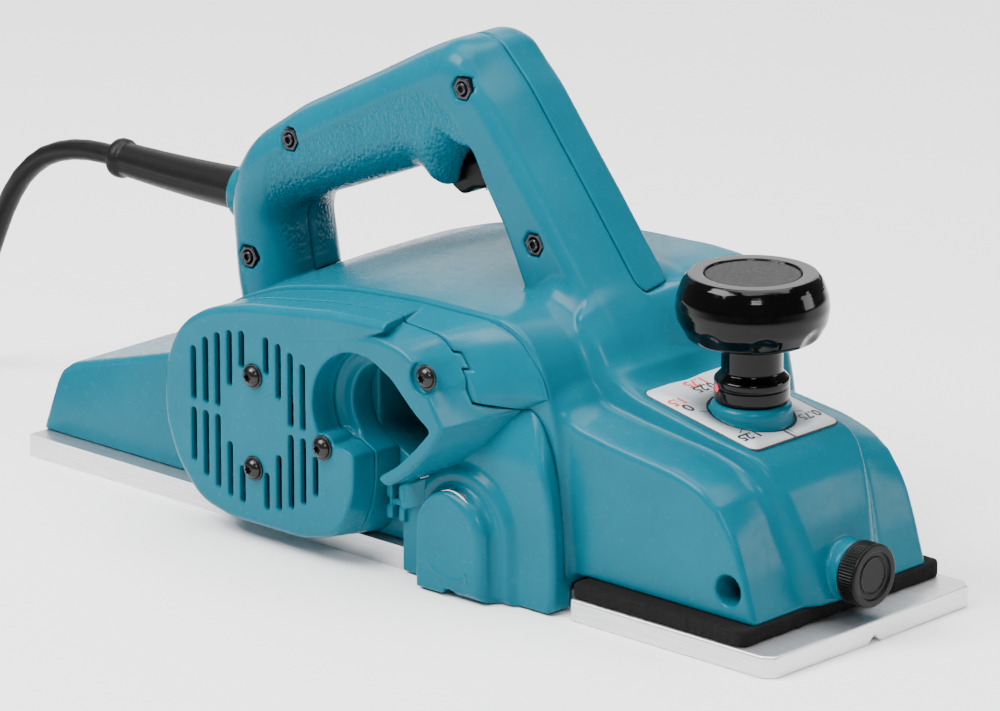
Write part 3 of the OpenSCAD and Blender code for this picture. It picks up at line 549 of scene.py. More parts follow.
def main_body(x, y, z):
    """Rear body, hump, front shoulder and ridge, blended as one moulding."""
    side = np.abs(y)
    rear = meet(polygon(x, z, REAR), side - BODY_HALF, 2.2)
    # the shoulder's top falls to the sides, and the ridge's flanks spread downwards
    droop = 3.0 * (np.clip(side - 29, 0, 18) / 18) ** 2 * ramp(z, 38, 56)
    shoulder = meet(polygon(x, z, SHOULDER) + droop, side - BODY_HALF, 2.2)
    crest = polygon(x, z, RIDGE)
    half = np.interp(z, (10, 28.7, 53.5, 60.8, 68), (12.5, 15.8, 21, 23.8, 26.6)).astype(np.float32)
    spread_out = np.interp(z, (28, 55, 68), (1.25, 0.8, 0.25)).astype(np.float32)
    flank = (side - half - spread_out * np.clip(-crest, 0, 9)) * 0.8
    ridge = meet(crest + 1.6 * (side / 28) ** 1.3 * ramp(x, 150, 160), flank, 1.8)
    body = join(shoulder, ridge, 2.0)
    body = join(body, hump_body(x, y, z), 3.5)
    body = join(body, rear, 3)
    fillet = (1.2 + 9 * ramp(x, 40, 56)).astype(np.float32)
    return join(body, np.maximum(handle_body(x, y, z), 70 - z), fillet)


def cover_region(x, y, z):
    """Where the left half of the handle is a moulding of its own."""
    low = 104.5 - 34 * ramp(x, 40, 20)
    corner = meet(meet(low - z, -y, 4), x - 90)
    return np.maximum(corner, 0.5 - hump_body(x, y, z))


def bolt_pockets(solid, x, y, z, side):
    """Recesses for the nuts at the right, side -1, or for the screw heads at the left."""
    for bx, bz in HANDLE_BOLTS:
        if side < 0:
            pocket = np.maximum(hexagon(x, z, bx, bz, 4.9), between(y, -30, -HANDLE_HALF + 4))
        else:
            pocket = y_bar(x, y, z, bx, bz, 4.6, HANDLE_HALF - 4, 30)
        solid = cut(solid, pocket, 0.5)
    return solid


def turned(u, v, centre, angle):
    """Coordinates round the centre in axes turned by the angle."""
    c, s = math.cos(angle), math.sin(angle)
    du, dv = u - centre[0], v - centre[1]
    return du * c + dv * s, -du * s + dv * c


def switch_slot(x, y, z):
    """Opening that the trigger slides in."""
    u, v = turned(x, z, SWITCH_AT, GRIP_TILT)
    slot = meet(between(u, -14.3, 7.3), between(v, -30, 18), 1)
    return meet(slot, between(y, -8.4, 8.4), 1)


def main_housing(x, y, z):
    """The moulding with its bosses, less the rooms for the parts that go into it."""
    solid = main_body(x, y, z)
    solid = join(solid, z_bar(x, y, z, KNOB_X, 0, 14.7, 50, 76.7, 2.5), 0.6)
    solid = join(solid, x_bar(x, y, z, 0, GUIDE[1], 10.3, 150, 176.2, 1.0), 0.5)
    boss = meet(np.hypot(y, z - CORD_Z) - 11.3, between(x, -124, -108), 2.5)
    solid = join(solid, boss, 2.5)
    over_shoe = np.where((x > 52) & (y > -47.3), SHOE_TOP + SHOE_TRAVEL + 0.7, 8.8)
    bottom = np.where(x > 86.2, BODY_BOTTOM, over_shoe)
    solid = meet(solid, bottom - z, 0.5)
    solid = cut(solid, z_bar(x, y, z, KNOB_X, 0, 11.8, 0, 23.5), 0.4)
    solid = cut(solid, brick(x, y, z, (KNOB_X - 26, -13, 0), (KNOB_X, 13, 23.5)), 0.4)
    solid = cut(solid, cover_region(x, y, z) - SEAM, 0.45)
    solid = bolt_pockets(solid, x, y, z, -1)
    solid = cut(solid, switch_slot(x, y, z), 1.0)
    solid = cut(solid, x_bar(x, y, z, 0, CORD_Z, 8.3, -140, -100), 0.6)
    drum_room = y_bar(x, y, z, *DRUM, 32.5, HUMP_RIGHT - 9, 56)
    motor_room = y_bar(x, y, z, *MOTOR, 37.2, HUMP_RIGHT - 9, 50)
    duct = meet(polygon(x, z, DUCT), between(y, HUMP_RIGHT - 9, 40))
    solid = cut(solid, join(drum_room, duct, 2), 0.6)
    solid = cut(solid, motor_room, 0.6)
    solid = cut(solid, y_bar(x, y, z, *GUIDE, 5.5, -60, 60), 0.5)
    solid = cut(solid, z_bar(x, y, z, KNOB_X, 0, 7.4, 40, 90), 0.4)
    solid = cut(solid, x_bar(x, y, z, 0, GUIDE[1], 4.2, 158, 190), 0.4)
    for shaft in (MOTOR, DRUM):
        solid = cut(solid, y_bar(x, y, z, *shaft, 13, 49, 70), 0.3)
    return solid


def handle_cover(x, y, z):
    """Left half of the handle as a shell, open where the cord guard, trigger and lock button pass."""
    solid = meet(handle_body(x, y, z), cover_region(x, y, z) + SEAM, 0.45)
    solid = bolt_pockets(solid, x, y, z, 1)
    solid = cut(solid, switch_slot(x, y, z), 1.0)
    solid = cut(solid, x_bar(x, y, z, 0, CORD_Z, 11.6, -140, -111), 0.3)
    solid = cut(solid, x_bar(x, y, z, 0, CORD_Z, 7.6, -140, -100), 0.3)
    solid = cut(solid, y_bar(x, y, z, *LOCK_AT, 5.4, 9, 30), 0.6)
    inner = meet(polygon(x, z, HANDLE) + 6, between(y, -16, 15))
    return cut(solid, cut(inner, polygon(x, z, GAP) - 6))


def grip_mask(x, y, z):
    """1 on the pebbled panels of the handle, 0 elsewhere."""
    inside = ramp(polygon(x, z, GRIP_PANEL), 0.5, -0.8)
    inside = inside * ramp(np.abs(y), 3.5, 4.5) * ramp(np.abs(y), 22.5, 22.2)
    return inside * ramp(hump_body(x, y, z), 1.5, 3.5)


# ---------------------------------------------------------------- shapes of the right-hand side unit

# control points (x, z, corner radius) at the outer face and at the housing, and the power of the change
SIDE_WALL = [
    ((-76, 11.5, 20), (-78, 9.5, 20), 1), ((-88, 25, 30), (-92, 20, 30), 1),
    ((-93.9, 40, 30), (-95.8, 36, 30), 1), ((-94, 57, 30), (-96, 57, 30), 1),
    ((-89.5, 71, 30), (-92.5, 71, 40), 1), ((-82.5, 79, 30), (-85.5, 77.8, 60), 1),
    ((-71, 86, 60), (-75.5, 82.9, 90), 1), ((-51, 90.8, 80), (-55.8, 91, 120), 1),
    ((-8, 96.6, 80), (-21.9, 97.6, 200), 1), ((26, 98.2, 40), (14.4, 100.4, 200), 1),
    ((40, 96, 10), (40, 100.6, 10), 1), ((30, 60), (30, 60), 1), ((3.2, 56), (3.2, 56), 1),
    ((3.2, 46, 20), (4.2, 46, 20), 1), ((3.0, 34, 20), (4.2, 34, 20), 1),
    ((-0.4, 21.5, 30), (2.5, 20, 30), 1), ((-8.5, 12.2, 30), (-3, 10, 10), 1),
    ((-24, 7.9, 30), (-24, 7.6, 30), 1), ((-60, 7.9, 30), (-60, 7.6, 30), 1)
]
SIDE_HOOD = [
    ((-30, 60), (-30, 60), 1), ((-30, 82), (-30, 94), 1), ((-2.7, 86.8, 10), (-2.7, 99.2, 60), 0.6),
    ((10, 91, 30), (14.4, 100.4, 200), 0.6), ((25, 90, 20), (50, 100.8, 60), 1.0),
    ((34, 86, 12), (63.6, 97.2, 24), 1.5), ((38.4, 78, 2), (74.9, 84.8, 10), 1.5),
    ((39, 77), (77.8, 77.2, 0.5), 1.5), ((46.3, 64.7, 0.4), (65, 71, 0.6), 1),
    ((39, 54, 30), (57.5, 58, 30), 1), ((29, 44, 30), (46, 48.5, 20), 1),
    ((19, 37.5, 2), (30, 41, 20), 1), ((15, 39.5, 1.5), (15, 38, 2), 1), ((12, 50), (12, 50), 1)
]
OUTLET_CIRCLE = (5, 61.5)
OUTLET_MOUTH = outline([
    (-8, 48), (-8, 70), (10, 82), (20.5, 79.2, 14), (33, 67.5, 40), (40.5, 62.6, 1.2), (33.3, 54.8, 30),
    (24.3, 46.3, 30), (15.5, 40.6, 3), (15, 0), (3.2, 0), (3.2, 47), (0, 48)
])
OUTLET_THROAT = outline([
    (2, 46), (-4, 60), (8, 77), (20.5, 78, 14), (33, 67.5, 30), (40, 62.8, 2), (33, 55, 30), (24, 47, 30),
    (14, 41, 4), (8, 42, 4)
])


def loft(x, y, z, controls, start, end):
    """Distance to a wall whose outline moves from its first to its second control points."""
    made = np.empty(np.broadcast_shapes(x.shape, y.shape, z.shape), np.float32)
    for j, level in enumerate(y[0, :, 0]):
        t = min(1, max(0, float(level - start) / (end - start)))
        points = []
        for one, two, power in controls:
            s = t ** power
            points.append(tuple(a * (1 - s) + b * s for a, b in zip(one, two)))
        made[:, j, :] = polygon(x[:, :, 0], z[:, 0, :], outline(points, 5))
    return made


def outlet_void(x, y, z):
    """Bowl of the chip outlet and the narrower throat behind it."""
    low_left = meet(z - 47.2, x - 3.2, 1.5)
    circle = np.hypot(x - OUTLET_CIRCLE[0], z - OUTLET_CIRCLE[1]) - 22.4
    mouth = np.maximum(join(circle, polygon(x, z, OUTLET_MOUTH), 0.5), -low_left)
    mouth = meet(mouth, y + 60, 5)
    throat = join(np.hypot(x - 6.5, z - OUTLET_CIRCLE[1]) - 16.2, polygon(x, z, OUTLET_THROAT), 1.0)
    throat = np.maximum(throat, -meet(z - 44.5, x - 2.5, 1.5))
    return join(mouth, throat, 1.0)


def side_unit(x, y, z):
    """Cover and bracket as one body: a flat face at the right that widens towards the housing."""
    lower_right = ramp(x, -20, -2) * ramp(z, 52, 40)
    edge = (3 - 2 * lower_right).astype(np.float32)
    wall = meet(loft(x, y, z, SIDE_WALL, COVER_Y, HUMP_RIGHT), COVER_Y - y, edge)
    crease = ((z - 86.8) * 21.3 - (x + 2.7) * 8.2) / 22.8
    sunk = np.maximum(meet(crease, -3.5 - x, 0.5), 62 - z)
    sunk = join(sunk, 18.4 - x, 1.5)
    hood = meet(loft(x, y, z, SIDE_HOOD, COVER_Y, HUMP_RIGHT), COVER_Y - y, 1.1)
    solid = join(cut(wall, sunk, 0.6), hood, 0.6)
    solid = cut(solid, outlet_void(x, y, z), 0.9)
    solid = join(solid, y_bar(x, y, z, *COVER_SCREWS[2], 5, -72.4, -53, 0.6), 0.6)
    pocket = y_bar(x, y, z, COVER_SCREWS[3][0] - 0.6, COVER_SCREWS[3][1] - 0.3, 6.0, -90, -70.6, 1.0)
    return cut(solid, pocket, 0.8)


def hood_facet(x, y, z):
    """Slanted plane that ends the hood at the front."""
    return 0.659 * (x - 46.3) - 0.643 * (y - COVER_Y) + 0.391 * (np.minimum(z, 78) - 64.7)


def vent_slots(x, y, z):
    """Upright cooling slots in two rows round a plain middle."""
    half, pitch = 1.35, 6.2
    starts = {-5: 1.4, -4: 1.4, -3: 1.4, -2: 10.5, -1: 18.5, 1: 18.5, 2: 10.5, 3: 1.4, 4: 1.4, 5: 7}
    slots = []
    for i, start in starts.items():
        end = 33 * math.sqrt(1 - (pitch * i / 41.6) ** 2)
        for row in (-1, 1) if i < 5 else (-1,):
            away = np.abs(row * (z - MOTOR[1]) - (start + end) / 2) - (end - start) / 2 + half
            slots.append(np.hypot(x - MOTOR[0] - pitch * i, np.maximum(away, 0)) - half)
    return np.maximum(np.minimum.reduce(slots), y - BRACKET_Y)


def gap_height(y):
    """Height of the slot between the bracket and the hood's tip."""
    return 72.8 - 0.15 * np.maximum(y - BRACKET_Y, 0)


def chip_cover(x, y, z):
    """Outer part of the side unit with the slots and the hood, and its tab in the bracket."""
    outlet = outlet_void(x, y, z)
    under = np.maximum(z - gap_height(y), 10 - x)
    region = np.minimum(y - BRACKET_Y + 0.12, np.maximum(under, y + 50.05))
    unit = side_unit(x, y, z)
    solid = meet(meet(unit, hood_facet(x, y, z), 0.5), region, 0.25)
    solid = np.minimum(solid, meet(brick(x, y, z, (40, -62.5, 85.0), (54, -60.6, 89.8)), unit + 0.5, 0.3))
    solid = cut(solid, vent_slots(x, y, z), 0.4)
    room = y_bar(x, y, z, *MOTOR, MOTOR_ROOM, -70.5, -50)
    solid = cut(solid, cut(room, outlet - 2.6))
    return cut(solid, y_bar(x, y, z, *DRUM, DRUM_ROOM, -55.3, -40), 0.2)


def side_bracket(x, y, z):
    """Inner part of the side unit, with the motor's bearing hub on three spokes."""
    outlet = outlet_void(x, y, z)
    above = np.minimum(gap_height(y) + 0.75 - 0.045 * (y - BRACKET_Y) - z, x - 12)
    region = np.maximum(BRACKET_Y + 0.12 - y, np.where(x > 12, above, -9).astype(np.float32))
    solid = meet(meet(side_unit(x, y, z), between(y, BRACKET_Y + 0.12, -50.05), 0.25), region, 0.3)
    solid = cut(solid, brick(x, y, z, (39, -63, 84.3), (55, -60.2, 90.6), 0.2), 0.2)
    solid = cut(solid, cut(y_bar(x, y, z, *MOTOR, MOTOR_ROOM, -70, -40), outlet - 2.6), 0.3)
    spokes = []
    for angle in (30, 150, 270):
        along, across = turned(x, z, MOTOR, -math.radians(angle))
        spoke = meet(between(along, 8, 38), np.abs(across) - 3, 0.5)
        spokes.append(meet(spoke, between(y, -60, -56), 0.5))
    hub = y_bar(x, y, z, *MOTOR, 14, -60, -52.5, 0.6)
    solid = join(solid, join(np.minimum.reduce(spokes), hub, 1), 1)
    solid = cut(solid, y_bar(x, y, z, *MOTOR, 11, -70, -52), 0.3)
    solid = cut(solid, y_bar(x, y, z, *DRUM, DRUM_ROOM, -55.3, -40), 0.2)
    for screw in COVER_SCREWS:
        solid = cut(solid, y_bar(x, y, z, *screw, 1.9, -80, -53), 0.2)
    return cut(solid, brick(x, y, z, (-190, -70, -5), (44, -40, 8.9)), 0.2)


GUARD_PANEL = outline([
    (12.5, 0.9, 1), (12.5, 28.5, 1), (16, 31, 3), (25, 38.5, 6), (31, 43.5, 8), (44.5, 52, 8),
    (54, 61.5, 8), (64.8, 71.1, 0.5), (77.6, 76.9, 0.5), (84, 76), (90, 50), (90, 0.9)
])
# height, and where the front edge is there at the face and at the housing
GUARD_FRONT = [
    (-5, 84.2, 85.6), (13, 86.0, 85.9), (29, 85.4, 85.4), (40, 84.2, 84), (46, 82.7, 83.2), (57, 79.2, 81),
    (66, 74.5, 79), (72, 70.7, 77.4), (77, 67.4, 76)
]


def arch(cx, cz, r, foot):
    """Outline with straight sides down to the foot and a half-round top."""
    angles = np.linspace(0, math.pi, 40)
    top = np.stack([cx + r * np.cos(angles), cz + r * np.sin(angles)], 1)
    return np.concatenate([[(cx + r, foot)], top, [(cx - r, foot)]])


GUARD_BULGE = arch(44, 23.3, 16.2, 1)
GUARD_STEP = arch(44, 23.6, 23, 1)
GUARD_RIB = outline([(12.5, 24), (12.5, 33.2), (33, 42.8), (38, 41), (30, 30)])


def drum_guard(x, y, z):
    """Side guard over the drum's right end, with the bearing bulge and the latch posts."""
    face = GUARD_Y + 7.2 * np.clip((z - 50) / 22, 0, 1) ** 1.6
    height, near, far = zip(*GUARD_FRONT)
    depth = np.clip((y - face) / (-47 - face), 0, 1)
    limit = np.interp(z, height, near) * (1 - depth) + np.interp(z, height, far) * depth
    front = ((x - limit) * 0.985).astype(np.float32)
    panel = meet(polygon(x, z, GUARD_PANEL), y + 50.05, 0.2)
    foot = brick(x, y, z, (70, -57, 0.9), (90, -47.1, 14.1), 0.3)
    panel = meet(np.minimum(panel, foot), (face - y).astype(np.float32), 0.6)
    panel = meet(panel, front, 2.6)
    step = meet(polygon(x, z, GUARD_STEP), between(y, -60.4, -52), 2.6)
    step = np.maximum(step, 26 - x)
    edge = (1.2 + 3.2 * ramp(x, 40, 50)).astype(np.float32)
    bulge = meet(polygon(x, z, GUARD_BULGE), between(y, BULGE_Y, -52), edge)
    solid = join(panel, step, 3)
    solid = join(solid, bulge, 3.2)
    solid = join(solid, meet(polygon(x, z, GUARD_RIB), between(y, -59, -52), 0.6), 0.6)
    for low in (6.2, 12.2):
        for height in (20, 28):
            latch = brick(x, y, z, (low, -59.4, height), (low + 3, -55.5, height + 5), 0.6)
            solid = join(solid, latch, 0.5)
        post = brick(x, y, z, (low + 0.7, -58.7, 20.5), (low + 2.3, -55.5, 32.5), 0.5)
        solid = join(solid, post, 0.5)
    solid = join(solid, brick(x, y, z, (6.5, -57.9, 25), (14, -55.5, 27.5), 0.4), 0.4)
    du, dv = x - 44.5, z - 22.4  # raised curved arrow
    arc = np.abs(np.hypot(du, dv) - 15.2) - 0.55
    arc = np.maximum(arc, np.abs(np.arctan2(du, -dv)) - 0.62) + 0 * y
    head = np.maximum(np.abs(x - 52.5 + 0.25 * (z - 9)) - 0.5, between(z, 7.3, 11.2)) + 0 * y
    mark = meet(np.minimum(arc, head), between(y, BULGE_Y - 0.45, -64), 0.2)
    solid = join(solid, mark, 0.2)
    solid = cut(solid, y_bar(x, y, z, 44, 0, 3.4, -80, -56), 0.6)
    return cut(solid, y_bar(x, y, z, *DRUM, 30.6, -55.3, -40), 0.2)


def belt_shape(x, z, lift):
    """Distance to the outline round both pulleys."""
    (ax, az), (bx, bz) = MOTOR, (DRUM[0], DRUM[1] + 1)
    ux, uz = bx - ax, bz - az
    t = np.clip(((x - ax) * ux + (z - az) * uz) / (ux * ux + uz * uz), 0, 1)
    return np.hypot(x - ax - t * ux, z - az - t * uz) - (34 + lift - 6 * t)


def belt_cover(x, y, z):
    """Hollow cover over the belt with a raised rib and four screw bosses."""
    outer = meet(belt_shape(x, z, 0), between(y, 64.1, 86), 5)
    rib = meet(np.abs(belt_shape(x, z, 0) + 9) - 1.2, between(y, 80, 86.6), 0.5)
    solid = join(outer, rib, 1)
    for screw in BELT_SCREWS:
        solid = join(solid, y_bar(x, y, z, *screw, 6, 64.1, 72, 0.8), 1.2)
        solid = cut(solid, y_bar(x, y, z, *screw, 2.3, 60, 80), 0.2)
    solid = cut(solid, meet(belt_shape(x, z, -3), between(y, 60, 83)), 0.3)
    return meet(solid, 9.4 - z, 0.4)


# ---------------------------------------------------------------- shapes of the small pieces

KNOB_PROFILE = outline([
    (0, 76.5), (12.7, 76.5, 0.6), (13.4, 78, 1), (13.4, 82.1, 0.5), (13.05, 82.5, 0.3), (13.4, 83, 0.5),
    (13.4, 85.2, 1), (12, 86.6, 1), (10.9, 87.8, 1), (10.9, 97.6, 1), (17, 98, 4), (23.6, 100.4, 5),
    (26.6, 106, 8), (27.3, 111.2, 8), (26.7, 115.4, 8), (25.35, 119.35, 0.4), (25.1, 119.5, 0.1),
    (25.2, 119.7, 0.4), (24.2, 121.6, 3), (22.7, 123.2, 1.2), (17.4, 123.2, 0.3), (17.2, 122.3, 0.2),
    (0, 122.3)
])


def depth_knob(x, y, z):
    """Turned knob with eight finger hollows from below."""
    radius = np.hypot(x - KNOB_X, y)
    solid = polygon(radius, z, KNOB_PROFILE)
    for k in range(8):
        a = math.radians(45 * k - 39)
        cx, cy = KNOB_X + 31.3 * math.cos(a), 31.3 * math.sin(a)
        gap = np.sqrt((x - cx) ** 2 + (y - cy) ** 2 + np.maximum(z - 99.3, 0) ** 2) - 8.3
        solid = cut(solid, np.maximum(gap, 96.8 - z), 1.3)
    return cut(solid, z_bar(x, y, z, KNOB_X, 0, 5.2, 60, 110), 0.2)


def knob_disc(x, y, z):
    return z_bar(x, y, z, KNOB_X, 0, 17.0, 121.9, 122.75, 0.25)


def guide_knob(x, y, z):
    """Knurled knob with a dished face."""
    radius = np.hypot(y, z - GUIDE[1])
    angle = np.arctan2(z - GUIDE[1], y)
    teeth = 0.32 * (0.5 + 0.5 * np.cos(angle * 64))
    edge = np.minimum(x - 177, 185 - x)
    rim = meet(radius - 11.55 + teeth * ramp(edge, 0.6, 1.4), between(x, 177, 185), 0.8)
    solid = join(rim, x_bar(x, y, z, 0, GUIDE[1], 9.8, 176.4, 178), 0.3)
    dish = x_bar(x, y, z, 0, GUIDE[1], 8.6, 184.2, 190, 0.3)
    solid = cut(solid, dish, 0.5)
    ring = meet(np.abs(radius - 6.6) - 0.35, between(x, 183, 184.6), 0.15)
    return cut(join(solid, ring, 0.2), x_bar(x, y, z, 0, GUIDE[1], 4.05, 170, 182), 0.1)


SHOE_PLAN = outline([
    (54, -46.9, 0.5), (91.5, -46.9, 0.5), (91.5, -55, 0.6), (180.5, -55, 2), (184.8, -52, 2),
    (185.5, 0, 400), (184.8, 52, 2), (180.5, 55, 2), (54, 55, 0.5)
])


def front_shoe(x, y, z):
    """Movable front part of the sole with its guide boss and the groove for edges of boards."""
    solid = meet(polygon(x, y, SHOE_PLAN), between(z, 0, SHOE_TOP), 0.45)
    solid = join(solid, z_bar(x, y, z, KNOB_X, 0, 10, 4, 20, 0.5), 0.8)
    ribs = meet(brick(x, y, z, (KNOB_X - 24, -11, 6), (KNOB_X, 11, 20)), 7 - np.abs(y), 0.3)
    solid = np.minimum(solid, ribs)
    solid = cut(solid, y_bar(x, y, z, *DRUM, 31.8, -60, 60), 0.2)
    solid = cut(solid, z_bar(x, y, z, KNOB_X, 0, 5.5, 11, 40), 0.2)
    return cut(solid, (np.abs(y) - 3.5 + z * 3.5 / 3) * 0.65 + 0 * x, 0.2)


def foam_seal(x, y, z):
    """Soft strip between shoe and housing, squeezed out in small lumps."""
    lumps = np.sin(0.55 * x + 1.3 * np.sin(0.21 * x)) + np.sin(0.5 * y + 1.1 * np.sin(0.23 * y))
    lumps = 0.30 * lumps + 0.14 * np.sin(1.7 * x + 0.8 * y) + 0.12 * np.sin(2.3 * y - 1.1 * x)
    outer = outline([(91.6, -54.3, 1.5), (171.5, -54.3, 4), (171.5, 54.3, 4), (91.6, 54.3, 1.5)])
    inner = outline([(99, -44.3, 3), (161.5, -44.3, 3), (161.5, 44.3, 3), (99, 44.3, 3)])
    wall = np.maximum(polygon(x, y, outer), -polygon(x, y, inner))
    return meet(wall + 0.4 - lumps * 0.4, between(z, 8.15, 14.15), 1.0)


def trigger(x, y, z):
    """Finger lever under the switch, with the plunger that works it."""
    u, v = turned(x, z, SWITCH_AT, GRIP_TILT)
    blade = outline([
        (-13.6, -6.3), (-13.6, -13, 2), (-10, -17.5, 4), (-3, -16.4, 6), (3, -17.8, 4), (6.6, -14, 3),
        (6.6, -6.3)
    ])
    plunger = brick(u, y, v, (-7.4, -5.4, -12), (-4.6, 5.4, -0.6))
    return join(meet(polygon(u, v, blade), np.abs(y) - 7.4, 1.6), plunger, 0.5)


def lock_button(x, y, z):
    """Round button with a ring pressed into its face."""
    stem = y_bar(x, y, z, *LOCK_AT, 4.95, 14.2, 25.2, 0.9)
    ring = meet(np.abs(np.hypot(x - LOCK_AT[0], z - LOCK_AT[1]) - 2.4) - 0.5, between(y, 24.6, 26))
    return cut(stem, ring, 0.2)


def pan_screw(x, y, z):
    """Domed head at the origin facing -Y, with a six-lobed recess."""
    dome = np.sqrt(x ** 2 + (y * 1.25) ** 2 + z ** 2) - 4.15
    head = meet(dome, np.maximum(np.hypot(x, z) - 3.95, y), 0.25)
    lobe = meet(lobes(x, z, 0, 0, 1.75, 0.75), between(y, -6, -1.7))
    return cut(head, lobe, 0.2)


def hex_nut(x, y, z):
    """Nut round the end of a screw at the origin, facing -Y."""
    nut = meet(hexagon(x, z, 0, 0, 4.5), between(y, 0, 3.2), 0.5)
    nut = cut(nut, np.hypot(x, z) - 2.55, 0.5)
    end = meet(np.hypot(x, z) - 2.25, between(y, -0.7, 3.1), 0.5)
    recess = np.maximum(hexagon(x, z, 0, 0, 1.35), between(y, -2, 0.9))
    return np.minimum(nut, cut(end, recess, 0.2))


def cross(u, v, half, reach):
    """Distance in a plane to a cross of two bars."""
    u, v = np.abs(u), np.abs(v)
    return np.minimum(np.maximum(u - half, v - reach), np.maximum(v - half, u - reach))


def bolt_head(x, y, z):
    """Round screw head at the origin facing +Y, with a cross recess."""
    dome = np.sqrt(x ** 2 + (y * 1.2) ** 2 + z ** 2) - 4.2
    head = meet(dome, np.maximum(np.hypot(x, z) - 3.95, -y), 0.25)
    return cut(head, np.maximum(cross(x, z, 0.45, 2.2), 1.6 - y), 0.2)


def flat_screw(x, y, z):
    """Countersunk screw at the origin pointing down, with a cross recess, covered by the scale sheet."""
    radius = np.hypot(x, y)
    head = meet(radius - 2.4 - np.minimum(z, 0), between(z, -2, 0), 0.1)
    solid = np.minimum(head, meet(radius - 1.3, between(z, -6, 0), 0.2))
    return cut(solid, np.maximum(cross(x, y, 0.3, 1.4), -0.8 - z), 0.1)


def washer(x, y, z):
    radius = np.hypot(x, z)
    return meet(np.maximum(radius - 4.65, 2.2 - radius), between(y, -0.8, 0), 0.2)


def plug_body(x, y, z):
    """Moulded plug with a waisted grip and a ribbed sleeve, pins pointing along +X."""
    v, w = y + 117, z - 13
    waist = 2.6 * np.exp(-((x + 245) / 7.0) ** 2)
    round_part = np.sqrt(v ** 2 + (w * 1.33) ** 2) - 17.3 + waist + 3.2 * ramp(x, -246, -257)
    body = meet(round_part * 0.85, between(x, -257, -222), 3)
    grooves = 0.8 * (0.5 + 0.5 * np.cos(x * 2 * math.pi / 3.2)) * ramp(x, -256, -259)
    sleeve = meet(np.hypot(v, w) - 5.6 + grooves - 0.06 * (x + 257), between(x, -272, -250), 0.8)
    return join(body, sleeve, 2)


def plug_pins(x, y, z):
    right, left = (x_bar(x, y, z, -117 + side, 13, 2.3, -224, -203, 1.2) for side in (-9.5, 9.5))
    return np.minimum(right, left)


def cord_tie(x, y, z):
    """Flat strap round the coil at its outer side."""
    u, v = turned(x, y, COIL_CENTRE, math.radians(200))
    ring = meet(between(u, 28.9, 67.2), between(z, -0.4, 17.0), 4)
    hole = meet(between(u, 30.4, 65.7), between(z, 1.1, 15.5), 3)
    strap = meet(np.maximum(ring, -hole), np.abs(v) - 4, 0.5)
    return np.maximum(strap, 0.02 - z)


# ---------------------------------------------------------------- cord

LEAD_ROUTE = [
    (-192, 0, 105), (-200, 0, 105), (-208, 0, 104.6), (-216, 0, 103.4), (-224, 0, 101.2), (-232, 0, 97.8),
    (-239, 0, 93), (-245.5, 0, 87), (-251, 0, 79.8), (-256, 0.2, 71.8), (-260.5, 0.5, 63.2),
    (-265, 1, 54.4), (-269.5, 1.6, 45.6), (-274.3, 2.2, 37), (-279.6, 2.8, 28.8), (-285.6, 3.4, 21),
    (-292, 4, 14.2), (-299, 4.5, 8.8), (-305.4, 4.8, 5.6)
]
TAIL_ROUTE = [(-302, -117, 12), (-292, -117, 12.5), (-282, -117, 13), (-272, -117, 13)]
# along X and radius, where the cord guard sits in the handle and at its free end
GUARD_COLLAR = [
    (-107.9, 9.5), (-110.6, 9.5), (-110.9, 7.4), (-121, 7.4), (-122.2, 7.6), (-123, 8.1), (-124, 8.2)
]
GUARD_RING = [
    (-186.6, 6.5), (-187.3, 7.2), (-188.2, 7.62), (-190.2, 7.65), (-191.3, 7.3), (-191.9, 6.6), (-192, 4.05)
]
COIL_CENTRE = (-312, -56)
COIL_TURNS = 3.25
COIL_OUTER, COIL_INNER = 61, 35
CORD_WIDTH = 8


def coil_layer(angle, first, last, height, climb):
    """Turns from the first to the last radius; the cord climbs half its width from the share climb on."""
    made = []
    count = int(COIL_TURNS * 24)
    for k in range(count + 1):
        t = k / count
        a = math.radians(angle) + 2 * math.pi * COIL_TURNS * t
        r = first + (last - first) * t
        lift = CORD_WIDTH / 2 * min(1, max(0, (t - climb) / 0.035))
        made.append((COIL_CENTRE[0] + r * math.cos(a), COIL_CENTRE[1] + r * math.sin(a), height + lift))
    return made


def cord_points():
    """Lead, a flat coil wound inwards below and outwards above, and the tail to the plug."""
    below = coil_layer(90, COIL_OUTER, COIL_INNER, CORD_WIDTH / 2, 0.965)
    above = coil_layer(180, COIL_INNER, COIL_OUTER, CORD_WIDTH, 0)
    return LEAD_ROUTE + below + above[1:] + TAIL_ROUTE


def make_cord(look):
    """The cord's curve and its length in metres."""
    data = bpy.data.curves.new("mains_cord", "CURVE")
    data.dimensions = "3D"
    data.bevel_depth = CORD_WIDTH / 2 * MM
    data.bevel_resolution = 5
    data.use_fill_caps = True
    points = cord_points()
    line = data.splines.new("POLY")
    line.points.add(len(points) - 1)
    for spot, point in zip(line.points, points):
        spot.co = (*(c * MM for c in point), 1)
    line.use_smooth = True
    cord = bpy.data.objects.new("mains_cord", data)
    bpy.context.scene.collection.objects.link(cord)
    place(cord, ["cord_lead", "cord_coil", "cord_tail"], "housing", "black_rubber", look)
    lengths = [math.dist(a, b) for a, b in zip(points, points[1:])]
    return cord, sum(lengths) * MM


